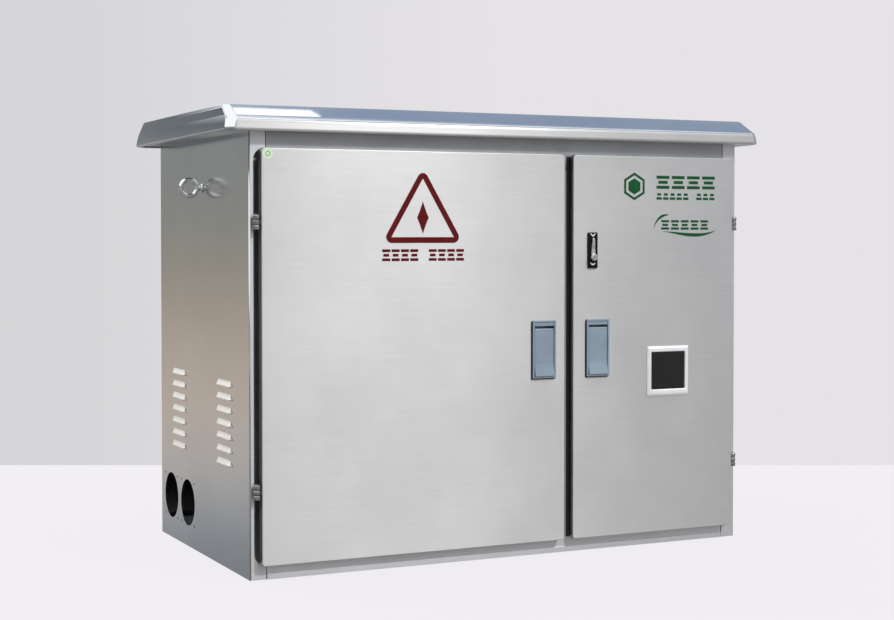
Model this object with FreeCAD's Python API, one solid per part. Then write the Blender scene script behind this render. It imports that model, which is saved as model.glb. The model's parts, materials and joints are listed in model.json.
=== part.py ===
# Outdoor low-voltage distribution cabinet in folded stainless sheet.
#
# Millimetres, +Z up, +X to the right and -Y towards somebody facing the doors.
# The origin is the middle of the rectangle that the cabinet stands on.
# Every piece is a solid of its own and is written to parts/NODE.step.
import FreeCAD, Part
import math
import os

V = FreeCAD.Vector

# ---------------------------------------------------------------- driving dimensions
# shell
BODY_W, BODY_D, BODY_H = 1300.0, 700.0, 1000.0
SHEET = 2.0                  # wall, door and roof sheet
POST_W = 38.0                # front return of a side panel, which makes the corner post
POST_LIP_W = 10.0            # part of that return left beside a door's hinge edge
REAR_FLANGE_W = 25.0
SEAM = 1.5                   # open joint between a post and a rail
RAIL_D = 40.0                # depth of header, sill and mullion
HEADER_H = 75.0
SILL_H = 75.0
SILL_HEM_H, SILL_HEM_T = 13.0, 1.5
GUTTER_D = 20.0              # rain gutter behind the post
GUTTER_R = 25.0              # rounded ends of the gutter opening
MULLION_W = 56.0
# roof
ROOF_SIDE, ROOF_FRONT, ROOF_REAR = 61.0, 30.0, 32.0    # overhangs
ROOF_LIP_H, ROOF_RISE = 27.0, 34.5
ROOF_SLOPE_FRONT, ROOF_SLOPE_REAR = 60.0, 35.0
ROOF_END_LEAN = 13.0
ROOF_FALL = 5.0              # lower at the rear, so that rain runs off away from the doors
ROOF_CHAMFER, ROOF_TOP_CHAMFER = 19.0, 14.0
# doors
DOOR_STAND = 21.0            # door face to frame face
DOOR_BACK_GAP = 3.0          # frame face to the door's inner flange, filled by the gasket
DOOR_EDGE_GAP = 22.0         # side of the cabinet to a door's hinge edge
DOOR_Z0, DOOR_TOP_GAP = 33.0, 37.0
RIGHT_DOOR_W = 463.0
DOOR_GAP = 23.0              # between the two doors
DOOR_FLANGE_W = 20.0
DOOR_CORNER_R = 8.0
GASKET_W, GASKET_INSET, GASKET_CLEAR = 12.0, 6.0, 0.4
STIFFENER_W, STIFFENER_D, STIFFENER_END = 40.0, 13.0, 40.0
# hinges
HINGE_INSET = 165.0          # hinge centre from the door's top or bottom
KNUCKLE_R, KNUCKLE_H, KNUCKLE_GAP = 8.5, 11.0, 0.5
KNUCKLE_STAND = 2.5          # barrel to the frame face
LEAF_T = 5.0
PIN_R, PIN_HEAD_R, PIN_HEAD_H = 3.0, 5.0, 2.0
RUN_FIT = 0.05               # radial running clearance of every turning pair
# flush paddle locks
LOCK_W, LOCK_H, LOCK_Z0 = 63.0, 139.0, 426.5
LOCK_INSET = {"left": 27.0, "right": 36.0}      # from the door's free edge
BEZEL_T, BEZEL_RIM = 5.0, 4.5
TRAY_WALL, TRAY_D, CUTOUT_CLEAR = 1.6, 20.0, 0.5
TRAY_HEAD_H, PADDLE_SLOT_H = 6.0, 9.0
PADDLE_T, PADDLE_SIDE_CLEAR, PADDLE_SET_BACK = 3.0, 1.0, 2.0
FLARE_H, FLARE_OUT, FLARE_LIFT = 27.0, 5.0, 5.0
PADDLE_BARREL_R, PADDLE_PIN_R = 3.5, 1.5
BOLT_T, BOLT_H, BOLT_ENGAGE, BOLT_TAIL = 10.0, 20.0, 12.0, 30.0
BOLT_CLEAR, GUIDE_WALL = 0.3, 3.0
BOLT_BEHIND = 3.0            # bolt's front face behind the frame face
# key lock
KEY_W, KEY_H, KEY_Z0, KEY_INSET = 26.5, 87.0, 689.0, 39.5
KEY_PLATE_T, KEY_HUB_UP, KEY_HUB_R, KEY_HUB_T = 3.5, 27.0, 8.5, 9.0
KEY_LEVER_TOP, KEY_LEVER_T = 13.0, 5.0
KEY_BOSS_R, KEY_SPINDLE_R, KEY_CAM_L, KEY_CAM_W, KEY_CAM_T = 11.0, 5.0, 44.0, 14.0, 3.0
KEY_PLUG_R, KEY_LIFT = 5.0, 0.3
# meter window
WINDOW_W, WINDOW_H, WINDOW_Z0, WINDOW_INSET = 120.0, 122.5, 371.5, 133.0
WINDOW_RIM, WINDOW_T, WINDOW_BEVEL = 12.0, 5.0, 3.5
SPIGOT_WALL, SPIGOT_D, GLASS_T, GLASS_LAP, GLASS_CLEAR = 3.0, 8.0, 3.0, 3.0, 0.3
# louvres and cable entries in the side panels
LOUVRE_ROWS, LOUVRE_PITCH, LOUVRE_TOP_Z = 7, 30.4, 427.5
LOUVRE_COLUMNS_Y = (185.0, -173.0)
LOUVRE_L, LOUVRE_H, LOUVRE_OUT, LOUVRE_T = 102.0, 14.0, 7.0, 1.2
LOUVRE_END_SLOPE = 0.8       # how far its ends lean in for what it stands out
ENTRY_R, ENTRY_Z = 57.0, 108.0
ENTRY_FROM_REAR = (92.5, 231.0)
ENTRY_SCREW_SPACING, ENTRY_SCREW_R = 104.0, 3.25
# lifting eyes
EYE_Z, EYE_Y = 882.0, -10.0
EYE_RING_R, EYE_WIRE_R, EYE_COLLAR_R, EYE_COLLAR_T = 19.5, 5.5, 11.0, 8.5
EYE_SHANK_R, EYE_HOLE_CLEAR, EYE_NUT_AF, EYE_NUT_H = 6.0, 0.5, 19.0, 10.0
# base
BASE_ANGLE_W, BASE_ANGLE_H, BASE_ANGLE_T = 50.0, 40.0, 4.0
BASE_FRONT_CLEAR = 2.0
ANCHOR_R = 7.0
# fasteners
BOLT_AF, BOLT_HEAD_H, BOLT_HEADS_X, BOLT_HEADS_Z = 10.0, 4.0, 5, 4
BOLT_HEAD_INSET = 14.0
# power compartment
PLATE_T, PLATE_OFF_REAR, PLATE_SIDE, PLATE_Z0, PLATE_TOP = 2.5, 48.0, 22.0, 178.0, 60.0
STANDOFF_R = 8.0
BUS_DROP, BUS_PITCH, BUS_STEP, BUS_OUT = 110.0, 45.0, 25.0, 60.0
BUS_H, BUS_T = 30.0, 5.0
POST_INSULATOR_R = 13.0
FEED_W, FEED_T = 15.0, 4.0
ISO_W, ISO_H, ISO_D, ISO_Z0, ISO_INSET, ISO_POLE_PITCH = 216.0, 200.0, 82.0, 430.0, 30.0, 68.0
ISO_CHAMBER_W, ISO_CHAMBER_D, ISO_EDGE = 52.0, 60.0, 22.0
CARRIER_T, CARRIER_CLEAR, CARRIER_SIDE, TRUNNION_R = 14.0, 2.0, 5.0, 3.5
GRIP_D, GRIP_R, GRIP_W = 34.0, 8.0, 100.0
FUSE_W, FUSE_H, FUSE_D, BLADE_H, BLADE_T = 36.0, 62.0, 36.0, 16.0, 5.0
CT_W, CT_H, CT_D, CT_SLOT_CLEAR = 62.0, 44.0, 58.0, 2.0
BREAKERS, BREAKER_W, BREAKER_H, BREAKER_D, BREAKER_Z0, BREAKER_GAP = 3, 105.0, 165.0, 80.0, 322.0, 28.0
BREAKER_POLE_PITCH, LUG_W, LUG_H, LUG_T = 35.0, 15.0, 22.0, 4.0
NOSE_W, NOSE_H, NOSE_D, TOGGLE_SLOT_W, TOGGLE_SLOT_H = 90.0, 86.0, 8.0, 24.0, 50.0
TOGGLE_W, TOGGLE_R, TOGGLE_REACH, TOGGLE_T, TOGGLE_CLEAR = 20.0, 16.0, 34.0, 9.0, 1.0
TOGGLE_REST = 25.0           # degrees above level when the breaker is on
CAPACITORS, CAP_R, CAP_H, CAP_PITCH, CAP_Y = 3, 42.0, 210.0, 95.0, 190.0
SPD_W, SPD_H, SPD_D, SPD_MODULES = 72.0, 90.0, 64.0, 4
GROUND_BAR_L, GROUND_BAR_Z, NEUTRAL_BAR_Z = 380.0, 202.0, 252.0
# metering compartment
BOARD_Y, BOARD_Z0, BOARD_TOP = 145.0, 120.0, 120.0
METER_W, METER_H, METER_D, METER_Z0, METER_CORNER_R = 170.0, 265.0, 52.0, 262.0, 8.0
COVER_D, COVER_WALL, COVER_DROP = 32.0, 2.5, 78.0
DISPLAY_W, DISPLAY_H, DISPLAY_T, DISPLAY_TOP = 96.0, 52.0, 6.0, 34.0
BUTTON_R, BUTTON_OUT, BUTTON_DROP, BUTTON_SIDE = 5.0, 3.0, 104.0, 45.0
TERMINAL_W, TERMINAL_H, TERMINAL_D, TERMINAL_WAYS, TERMINAL_WELL = 190.0, 62.0, 40.0, 10, 3.5
COLLECTOR_W, COLLECTOR_H, COLLECTOR_D, COLLECTOR_UP = 170.0, 120.0, 50.0, 60.0

# ---------------------------------------------------------------- places worked out
LEFT, RIGHT = -BODY_W / 2, BODY_W / 2
FRONT, REAR = -BODY_D / 2, BODY_D / 2
DOOR_FACE = FRONT - DOOR_STAND
DOOR_BACK = FRONT - DOOR_BACK_GAP
DOOR_Z1 = BODY_H - DOOR_TOP_GAP
HEADER_Z0 = BODY_H - HEADER_H
DOORS = {
    "left": (LEFT + DOOR_EDGE_GAP, RIGHT - DOOR_EDGE_GAP - RIGHT_DOOR_W - DOOR_GAP),
    "right": (RIGHT - DOOR_EDGE_GAP - RIGHT_DOOR_W, RIGHT - DOOR_EDGE_GAP),
}
HINGE_AXIS_X = DOOR_EDGE_GAP - KNUCKLE_R - KNUCKLE_GAP      # from the cabinet's side
HINGE_AXIS_Y = KNUCKLE_R + KNUCKLE_STAND                    # in front of the frame face
MULLION_X = (DOORS["left"][1] + DOORS["right"][0]) / 2
HINGE_Z = (DOOR_Z0 + HINGE_INSET, DOOR_Z1 - HINGE_INSET)
LOCK_X = {"left": DOORS["left"][1] - LOCK_INSET["left"] - LOCK_W / 2,
          "right": DOORS["right"][0] + LOCK_INSET["right"] + LOCK_W / 2}
TOWARDS_GAP = {"left": 1.0, "right": -1.0}      # sign of X from a door to the gap
BEZEL_FACE = DOOR_FACE - BEZEL_T
PADDLE_W = LOCK_W - 2 * BEZEL_RIM - 2 * PADDLE_SIDE_CLEAR
PADDLE_TOP = LOCK_Z0 + LOCK_H - BEZEL_RIM - TRAY_HEAD_H - PADDLE_SLOT_H
PADDLE_AXIS = (BEZEL_FACE + PADDLE_SET_BACK + PADDLE_BARREL_R, PADDLE_TOP - PADDLE_BARREL_R)
LOCK_MID_Z = LOCK_Z0 + LOCK_H / 2
BOLT_Y0 = FRONT + BOLT_BEHIND
KEY_X = DOORS["right"][0] + KEY_INSET + KEY_W / 2
KEY_HUB_Z = KEY_Z0 + KEY_HUB_UP
WINDOW_X0 = DOORS["right"][1] - WINDOW_INSET - WINDOW_W
FLOOR_Z = BASE_ANGLE_H + SHEET
BASE_Y = BODY_D / 2 - RAIL_D - BASE_FRONT_CLEAR
WALL_X = MULLION_X - SHEET / 2
PLATE_FACE = REAR - PLATE_OFF_REAR
PLATE_X = (LEFT + PLATE_SIDE, WALL_X - PLATE_SIDE)
PLATE_Z1 = BODY_H - PLATE_TOP
BUS_Z = [BODY_H - BUS_DROP - i * BUS_PITCH for i in range(3)]
BUS_Y = [PLATE_FACE - BUS_OUT - (2 - i) * BUS_STEP for i in range(3)]
ISO_X = PLATE_X[0] + ISO_INSET + ISO_W / 2
BREAKER_X = [PLATE_X[1] - BREAKER_GAP / 2 - BREAKER_W / 2 - (BREAKERS - 1 - i) * (BREAKER_W + BREAKER_GAP)
             for i in range(BREAKERS)]
BOARD_FACE = FRONT + BOARD_Y
METER_X = WINDOW_X0 + WINDOW_W / 2


# ---------------------------------------------------------------- helpers
def box(x0, x1, y0, y1, z0, z1):
    """Block between two opposite corners."""
    return Part.makeBox(x1 - x0, y1 - y0, z1 - z0, V(x0, y0, z0))


def rod(x, y, z, radius, length, axis=V(0, 0, 1)):
    """Cylinder that starts at a point and runs along an axis."""
    return Part.makeCylinder(radius, length, V(x, y, z), axis)


def joined(*shapes):
    """One solid from overlapping or touching shapes, without inner seams."""
    return shapes[0].fuse(list(shapes[1:])).removeSplitter()


def rounded(shape, radius, direction, keep=lambda middle: True):
    """Fillet the straight edges that run along a direction and pass a test on their midpoint."""
    edges = []
    for edge in shape.Edges:
        start, end = edge.Vertexes[0].Point, edge.Vertexes[-1].Point
        along = end - start
        if along.Length > 1e-6 and abs(along.normalize().dot(direction)) > 0.999 and keep((start + end) / 2):
            edges.append(edge)
    return shape.makeFillet(radius, edges)


def extruded(points, length, along):
    """Prism whose outline is a closed row of points."""
    wire = Part.makePolygon([V(*p) for p in points] + [V(*points[0])])
    return Part.Face(wire).extrude(along * length)


def profile_x(x0, x1, points):
    """Prism along X from an outline of (y, z) points."""
    return extruded([(x0, y, z) for y, z in points], x1 - x0, V(1, 0, 0))


def mirrored(shape):
    """The same shape on the other side of the cabinet's middle plane."""
    return shape.mirror(V(0, 0, 0), V(1, 0, 0))


def hexagon_bolt(x, y, z, across_flats, height, axis):
    """Hexagon head or nut that starts at a point and stands out along an axis."""
    side = V(0, 0, 1) if abs(axis.z) < 0.5 else V(1, 0, 0)
    other = axis.cross(side)
    corners = [V(x, y, z) + (side * math.cos(math.radians(60 * i)) + other * math.sin(math.radians(60 * i)))
               * (across_flats / math.sqrt(3)) for i in range(6)]
    return Part.Face(Part.makePolygon(corners + corners[:1])).extrude(axis * height)


def save(node, *solids):
    """Write a node's solids to its own STEP file."""
    for solid in solids:
        if not solid.isValid() or solid.Volume <= 0:
            raise ValueError("bad solid in " + node)
    shape = solids[0] if len(solids) == 1 else Part.makeCompound(list(solids))
    shape.exportStep("parts/" + node + ".step")


# ---------------------------------------------------------------- shell
def louvre_hood(y, z, shrink):
    """Wedge of a pressed louvre on the left panel: it slopes out as it goes down."""
    half = LOUVRE_L / 2 - shrink
    top, low = z + LOUVRE_H / 2 - shrink * 2, z - LOUVRE_H / 2
    out = LOUVRE_OUT - shrink
    end = out * LOUVRE_END_SLOPE
    face = [V(LEFT, y + half, top), V(LEFT, y - half, top), V(LEFT, y - half, low), V(LEFT, y + half, low)]
    nose = [V(LEFT - out, y + half - end, low), V(LEFT - out, y - half + end, low)]
    return solid_of_faces([[face[0], face[1], nose[1], nose[0]], [face[1], face[2], nose[1]],
                           [face[3], face[0], nose[0]], [face[2], face[3], nose[0], nose[1]],
                           [face[0], face[3], face[2], face[1]]])


def louvre_slot(y, z):
    """Opening through the panel behind a louvre, which leaves the hood open below."""
    half = LOUVRE_L / 2 - LOUVRE_T
    return box(LEFT, LEFT + SHEET, y - half, y + half, z - LOUVRE_H / 2, z + LOUVRE_H / 2 - LOUVRE_T * 2)


def solid_of_faces(loops):
    """Closed solid from flat faces given as loops of points."""
    faces = [Part.Face(Part.makePolygon(loop + loop[:1])) for loop in loops]
    solid = Part.Solid(Part.Shell(faces))
    if solid.Volume < 0:
        solid.reverse()
    return solid


def side_panel(with_entries):
    """Left side wall with its corner post, rear flange, louvres and cable entries."""
    wall = box(LEFT, LEFT + SHEET, FRONT, REAR, 0, BODY_H)
    post = box(LEFT, LEFT + POST_W, FRONT, FRONT + SHEET, 0, BODY_H)
    flange = box(LEFT, LEFT + REAR_FLANGE_W, REAR - 2 * SHEET, REAR - SHEET, 0, BODY_H)
    opening = rounded(box(LEFT + POST_LIP_W, LEFT + POST_W + GUTTER_R, FRONT - 1, FRONT + SHEET + 1,
                          DOOR_Z0, DOOR_Z1), GUTTER_R, V(0, 1, 0))
    panel = joined(wall, post, flange).cut(opening)
    hoods, cuts = [], []
    for y in LOUVRE_COLUMNS_Y:
        for row in range(LOUVRE_ROWS):
            z = LOUVRE_TOP_Z - row * LOUVRE_PITCH
            hoods.append(louvre_hood(y, z, 0.0))
            cuts += [louvre_slot(y, z), louvre_hood(y, z, LOUVRE_T)]
    panel = panel.fuse(hoods).cut(cuts)
    holes = [rod(LEFT - 1, EYE_Y, EYE_Z, EYE_SHANK_R + EYE_HOLE_CLEAR, SHEET + 2, V(1, 0, 0))]
    if with_entries:
        for from_rear in ENTRY_FROM_REAR:
            y, half = REAR - from_rear, ENTRY_SCREW_SPACING / 2
            holes.append(rod(LEFT - 1, y, ENTRY_Z, ENTRY_R, SHEET + 2, V(1, 0, 0)))
            holes += [rod(LEFT - 1, y + dy, ENTRY_Z + dz, ENTRY_SCREW_R, SHEET + 2, V(1, 0, 0))
                      for dy in (-half, half) for dz in (-half, half)]
    return panel.cut(holes)


def rail(z0, z1):
    """Folded front rail between the posts: a face with a flange back from its top and bottom."""
    x0, x1 = LEFT + POST_W + SEAM, RIGHT - POST_W - SEAM
    block = box(x0, x1, FRONT, FRONT + RAIL_D, z0, z1)
    return block.cut(box(x0 - 1, x1 + 1, FRONT + SHEET, FRONT + RAIL_D + 1, z0 + SHEET, z1 - SHEET))


def jamb():
    """Left rain gutter behind the post, with the lip that the door's gasket closes on."""
    x1 = LEFT + POST_W
    back = FRONT + GUTTER_D
    gutter = box(LEFT + SHEET, x1, back, back + SHEET, 0, BODY_H)
    lip = box(x1 - SHEET, x1, FRONT + SHEET, back, 0, BODY_H)
    nose = box(x1 - SHEET, x1, FRONT, FRONT + SHEET, DOOR_Z0 + 1, DOOR_Z1 - 1)
    return joined(gutter, lip, nose)


def mullion():
    """Box section between the doors, notched for the latch bolts and slotted for the key cam."""
    x0, x1 = MULLION_X - MULLION_W / 2, MULLION_X + MULLION_W / 2
    tube = box(x0, x1, FRONT, FRONT + RAIL_D, SILL_H, HEADER_Z0).cut(
        box(x0 + SHEET, x1 - SHEET, FRONT + SHEET, FRONT + RAIL_D - SHEET, SILL_H - 1, HEADER_Z0 + 1))
    half, depth = BOLT_H / 2 + 2, BOLT_ENGAGE + 2
    y1 = BOLT_Y0 + BOLT_T + 2
    notches = [box(x0 - 1, x0 + depth, FRONT - 1, y1, LOCK_MID_Z - half, LOCK_MID_Z + half),
               box(x1 - depth, x1 + 1, FRONT - 1, y1, LOCK_MID_Z - half, LOCK_MID_Z + half)]
    cam_meets = math.sqrt(KEY_CAM_L ** 2 - (KEY_X - x1) ** 2)       # height at which the cam's tip comes in
    slot = box(x1 - SHEET - 1, x1 + 1, FRONT + SHEET, FRONT + 5 * SHEET, KEY_HUB_Z - KEY_CAM_W / 2 - 3,
               KEY_HUB_Z + cam_meets + 3)
    return tube.cut(notches + [slot])


def roof_ring(half_x, y0, y1, z, chamfer, fall=0.0):
    """Rectangle with cut corners, as eight points, level or lower towards the rear."""
    corners = [(-half_x, y0 + chamfer), (-half_x + chamfer, y0), (half_x - chamfer, y0),
               (half_x, y0 + chamfer), (half_x, y1 - chamfer), (half_x - chamfer, y1),
               (-half_x + chamfer, y1), (-half_x, y1 - chamfer)]
    eaves = FRONT - ROOF_FRONT
    return [V(x, y, z - fall * (y - eaves) / (REAR + ROOF_REAR - eaves)) for x, y in corners]


def stacked(rings):
    """Solid with flat faces between matching rings of points."""
    loops = [rings[0], rings[-1]]
    for low, high in zip(rings, rings[1:]):
        count = len(low)
        loops += [[low[i], low[(i + 1) % count], high[(i + 1) % count], high[i]] for i in range(count)]
    return solid_of_faces(loops)


def roof_form(inset):
    """Roof outline: an upright lip, then a slope to a flat top. A positive inset is the inside."""
    lean = ROOF_END_LEAN / (ROOF_LIP_H + ROOF_RISE)
    half = RIGHT + ROOF_SIDE - inset
    y0, y1 = FRONT - ROOF_FRONT + inset, REAR + ROOF_REAR - inset
    eave, top = BODY_H + ROOF_LIP_H - inset / 2, BODY_H + ROOF_LIP_H + ROOF_RISE - inset
    bottom = BODY_H - (1 if inset else 0)
    return stacked([roof_ring(half, y0, y1, bottom, ROOF_CHAMFER, ROOF_FALL),
                    roof_ring(half - lean * (eave - BODY_H), y0, y1, eave, ROOF_CHAMFER, ROOF_FALL),
                    roof_ring(half - lean * (top - BODY_H), y0 + ROOF_SLOPE_FRONT, y1 - ROOF_SLOPE_REAR,
                              top, ROOF_TOP_CHAMFER, ROOF_FALL)])


def build_shell():
    """Walls, frame, base and roof."""
    save("left_side_panel", side_panel(with_entries=True))
    save("right_side_panel", mirrored(side_panel(with_entries=False)))
    inside = SHEET + 0.5
    back = box(LEFT + inside, RIGHT - inside, REAR - SHEET, REAR, 0, BODY_H)
    lap = REAR_FLANGE_W + 0.5
    returns = [box(LEFT + lap, RIGHT - lap, BASE_Y, REAR - SHEET, z, z + SHEET) for z in (0, BODY_H - SHEET)]
    save("rear_panel", joined(back, *returns))
    save("header_rail", rail(HEADER_Z0, BODY_H))
    hem = box(LEFT + POST_W + SEAM, RIGHT - POST_W - SEAM, FRONT - SILL_HEM_T, FRONT, 0, SILL_HEM_H)
    save("sill_rail", joined(rail(0, SILL_H), hem))
    save("centre_mullion", mullion())
    save("door_jambs", jamb(), mirrored(jamb()))
    outer_x, inner_x = RIGHT - SHEET, RIGHT - SHEET - BASE_ANGLE_W
    inner_y = BASE_Y - BASE_ANGLE_W
    frame = box(-outer_x, outer_x, -BASE_Y, BASE_Y, 0, BASE_ANGLE_H).cut([
        box(-outer_x + BASE_ANGLE_T, outer_x - BASE_ANGLE_T, -BASE_Y + BASE_ANGLE_T, BASE_Y - BASE_ANGLE_T,
            BASE_ANGLE_T, BASE_ANGLE_H + 1),
        box(-inner_x, inner_x, -inner_y, inner_y, -1, BASE_ANGLE_T + 1)])
    anchor_x, anchor_y = (outer_x + inner_x) / 2, (BASE_Y + inner_y) / 2
    frame = frame.cut([rod(sx * anchor_x, sy * anchor_y, -1, ANCHOR_R, BASE_ANGLE_T + 2)
                       for sx in (-1, 1) for sy in (-1, 1)])
    save("base_frame", frame)
    save("floor_plate", box(-outer_x, outer_x, -BASE_Y, BASE_Y, BASE_ANGLE_H, FLOOR_Z))
    save("roof_pan", roof_form(0).cut(roof_form(SHEET)))
    fit = SHEET + 0.5
    save("roof_soffit", stacked([roof_ring(RIGHT + ROOF_SIDE - fit - 1.7, FRONT - ROOF_FRONT + fit,
                                           REAR + ROOF_REAR - fit, z, ROOF_CHAMFER)
                                 for z in (BODY_H, BODY_H + SHEET)]))
    heads = []
    for i in range(BOLT_HEADS_X):
        x = (i / (BOLT_HEADS_X - 1) - 0.5) * (BODY_W - 2 * SHEET - 2 * BOLT_HEAD_INSET)
        for j in range(BOLT_HEADS_Z):
            if 0 < i < BOLT_HEADS_X - 1 and 0 < j < BOLT_HEADS_Z - 1:
                continue
            z = BOLT_HEAD_INSET + j / (BOLT_HEADS_Z - 1) * (BODY_H - 2 * BOLT_HEAD_INSET)
            heads.append(hexagon_bolt(x, REAR, z, BOLT_AF, BOLT_HEAD_H, V(0, 1, 0)))
    save("panel_bolts", *heads)


def eye_bolt():
    """Left lifting eye: ring, collar and shank, with a nut inside the wall."""
    centre = LEFT - EYE_COLLAR_T - EYE_RING_R - EYE_WIRE_R
    ring = Part.makeTorus(EYE_RING_R, EYE_WIRE_R, V(centre, EYE_Y, EYE_Z), V(0, 1, 0))
    collar = rod(LEFT, EYE_Y, EYE_Z, EYE_COLLAR_R, EYE_COLLAR_T + EYE_WIRE_R, V(-1, 0, 0))
    shank = rod(LEFT, EYE_Y, EYE_Z, EYE_SHANK_R, SHEET + EYE_NUT_H + 4, V(1, 0, 0))
    return joined(collar.cut(rod(centre, EYE_Y - 20, EYE_Z, EYE_RING_R - EYE_WIRE_R / 2, 40, V(0, 1, 0))),
                  ring, shank)


def eye_nut():
    """Nut of the left lifting eye."""
    nut = hexagon_bolt(LEFT + SHEET, EYE_Y, EYE_Z, EYE_NUT_AF, EYE_NUT_H, V(1, 0, 0))
    return nut.cut(rod(LEFT, EYE_Y, EYE_Z, EYE_SHANK_R, SHEET + EYE_NUT_H + 1, V(1, 0, 0)))


# ---------------------------------------------------------------- doors
def knuckle(x, z0, height):
    """Hinge barrel with its bore."""
    y = FRONT - HINGE_AXIS_Y
    return rod(x, y, z0, KNUCKLE_R, height), rod(x, y, z0 - 1, PIN_R + RUN_FIT, height + 2)


def hinge_parts(z):
    """Left hinge at a height: two frame barrels, the door barrel and the pin."""
    x, y = LEFT + HINGE_AXIS_X, FRONT - HINGE_AXIS_Y
    half = 1.5 * KNUCKLE_H + KNUCKLE_GAP
    leaf_x0 = LEFT + POST_LIP_W + 0.5
    frame_parts = []
    for z0 in (z - half, z + half - KNUCKLE_H):
        barrel, bore = knuckle(x, z0, KNUCKLE_H)
        leaf = box(leaf_x0, leaf_x0 + LEAF_T, y, FRONT + GUTTER_D, z0, z0 + KNUCKLE_H)
        frame_parts.append(joined(barrel, leaf).cut(bore))
    barrel, bore = knuckle(x, z - KNUCKLE_H / 2, KNUCKLE_H)
    leaf = box(x, LEFT + DOOR_EDGE_GAP, y - LEAF_T / 2, y + LEAF_T / 2, z - KNUCKLE_H / 2, z + KNUCKLE_H / 2)
    door_part = joined(barrel, leaf).cut(bore)
    pin = joined(rod(x, y, z - half, PIN_R, 2 * half), rod(x, y, z + half, PIN_HEAD_R, PIN_HEAD_H))
    return frame_parts, door_part, pin


def build_hinges():
    """All four hinges; the right-hand ones mirror the left."""
    leaves, pins, door_leaves = [], [], []
    for z in HINGE_Z:
        frame_parts, door_part, pin = hinge_parts(z)
        leaves += frame_parts
        door_leaves.append(door_part)
        pins.append(pin)
    save("frame_hinge_leaves", *leaves, *[mirrored(leaf) for leaf in leaves])
    save("hinge_pins", *pins, *[mirrored(pin) for pin in pins])
    save("left_door_hinge_leaves", *door_leaves)
    save("right_door_hinge_leaves", *[mirrored(leaf) for leaf in door_leaves])


def door_skin(side, cutouts):
    """Folded door: a face, four returns and an inner flange all round."""
    x0, x1 = DOORS[side]
    outer = rounded(box(x0, x1, DOOR_FACE, DOOR_BACK, DOOR_Z0, DOOR_Z1), DOOR_CORNER_R, V(0, 1, 0))
    front_edges = [edge for edge in outer.Edges if abs(edge.BoundBox.YMax - DOOR_FACE) < 1e-4]
    outer = outer.makeFillet(SHEET, front_edges)
    hollow = box(x0 + SHEET, x1 - SHEET, DOOR_FACE + SHEET, DOOR_BACK - SHEET, DOOR_Z0 + SHEET, DOOR_Z1 - SHEET)
    mouth = box(x0 + DOOR_FLANGE_W, x1 - DOOR_FLANGE_W, DOOR_BACK - SHEET - 1, DOOR_BACK + 1,
                DOOR_Z0 + DOOR_FLANGE_W, DOOR_Z1 - DOOR_FLANGE_W)
    return outer.cut([hollow, mouth] + cutouts)


def door_gasket(side):
    """Foam gasket on the inner flange, just clear of the frame."""
    x0, x1 = DOORS[side]
    a, b = GASKET_INSET, GASKET_INSET + GASKET_W
    y0, y1 = DOOR_BACK, FRONT - GASKET_CLEAR
    return box(x0 + a, x1 - a, y0, y1, DOOR_Z0 + a, DOOR_Z1 - a).cut(
        box(x0 + b, x1 - b, y0 - 1, y1 + 1, DOOR_Z0 + b, DOOR_Z1 - b))


def lock_recess(side, grow, y0, y1):
    """Block that fills the paddle lock's recess, larger all round by a wall."""
    half = LOCK_W / 2 - BEZEL_RIM + grow
    return box(LOCK_X[side] - half, LOCK_X[side] + half, y0, y1,
               LOCK_Z0 + BEZEL_RIM - grow, LOCK_Z0 + LOCK_H - BEZEL_RIM + grow)


def bolt_body(side, grow):
    """Latch bolt, or with grow the channel it slides in."""
    tip = MULLION_X - TOWARDS_GAP[side] * (MULLION_W / 2 - BOLT_ENGAGE)
    tail = LOCK_X[side] - TOWARDS_GAP[side] * BOLT_TAIL
    x0, x1 = min(tip, tail), max(tip, tail)
    return box(x0 - grow, x1 + grow, BOLT_Y0 - grow, BOLT_Y0 + BOLT_T + grow,
               LOCK_MID_Z - BOLT_H / 2 - grow, LOCK_MID_Z + BOLT_H / 2 + grow)


def lock_housing(side):
    """Flush lock: bezel and tray in front, bolt guide behind, with the paddle's pin."""
    x = LOCK_X[side]
    bezel = rounded(box(x - LOCK_W / 2, x + LOCK_W / 2, BEZEL_FACE, DOOR_FACE, LOCK_Z0, LOCK_Z0 + LOCK_H),
                    3.0, V(0, 1, 0))
    tray_back = DOOR_FACE + TRAY_D
    tray = lock_recess(side, TRAY_WALL, DOOR_FACE, tray_back)
    hollow = lock_recess(side, 0, BEZEL_FACE - 1, tray_back - TRAY_WALL)
    half = LOCK_W / 2 - BEZEL_RIM
    top = LOCK_Z0 + LOCK_H - BEZEL_RIM
    head = box(x - half, x + half, BEZEL_FACE + PADDLE_SET_BACK, tray_back, top - TRAY_HEAD_H, top)
    shell = joined(joined(bezel, tray).cut(hollow), head)
    wall = GUIDE_WALL + BOLT_CLEAR
    guide = box(x - half, x + half, tray_back, BOLT_Y0 + BOLT_T + wall,
                LOCK_MID_Z - BOLT_H / 2 - wall, LOCK_MID_Z + BOLT_H / 2 + wall)
    channel = bolt_body(side, BOLT_CLEAR)
    travel = box(x - half - 1, x + half + 1, BOLT_Y0 - BOLT_CLEAR, BOLT_Y0 + BOLT_T + BOLT_CLEAR,
                 LOCK_MID_Z - BOLT_H / 2 - BOLT_CLEAR, LOCK_MID_Z + BOLT_H / 2 + BOLT_CLEAR)
    pin_y, pin_z = PADDLE_AXIS
    pin = rod(x - half, pin_y, pin_z, PADDLE_PIN_R, 2 * half, V(1, 0, 0))
    return joined(shell, guide).cut([channel, travel]), pin


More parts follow.
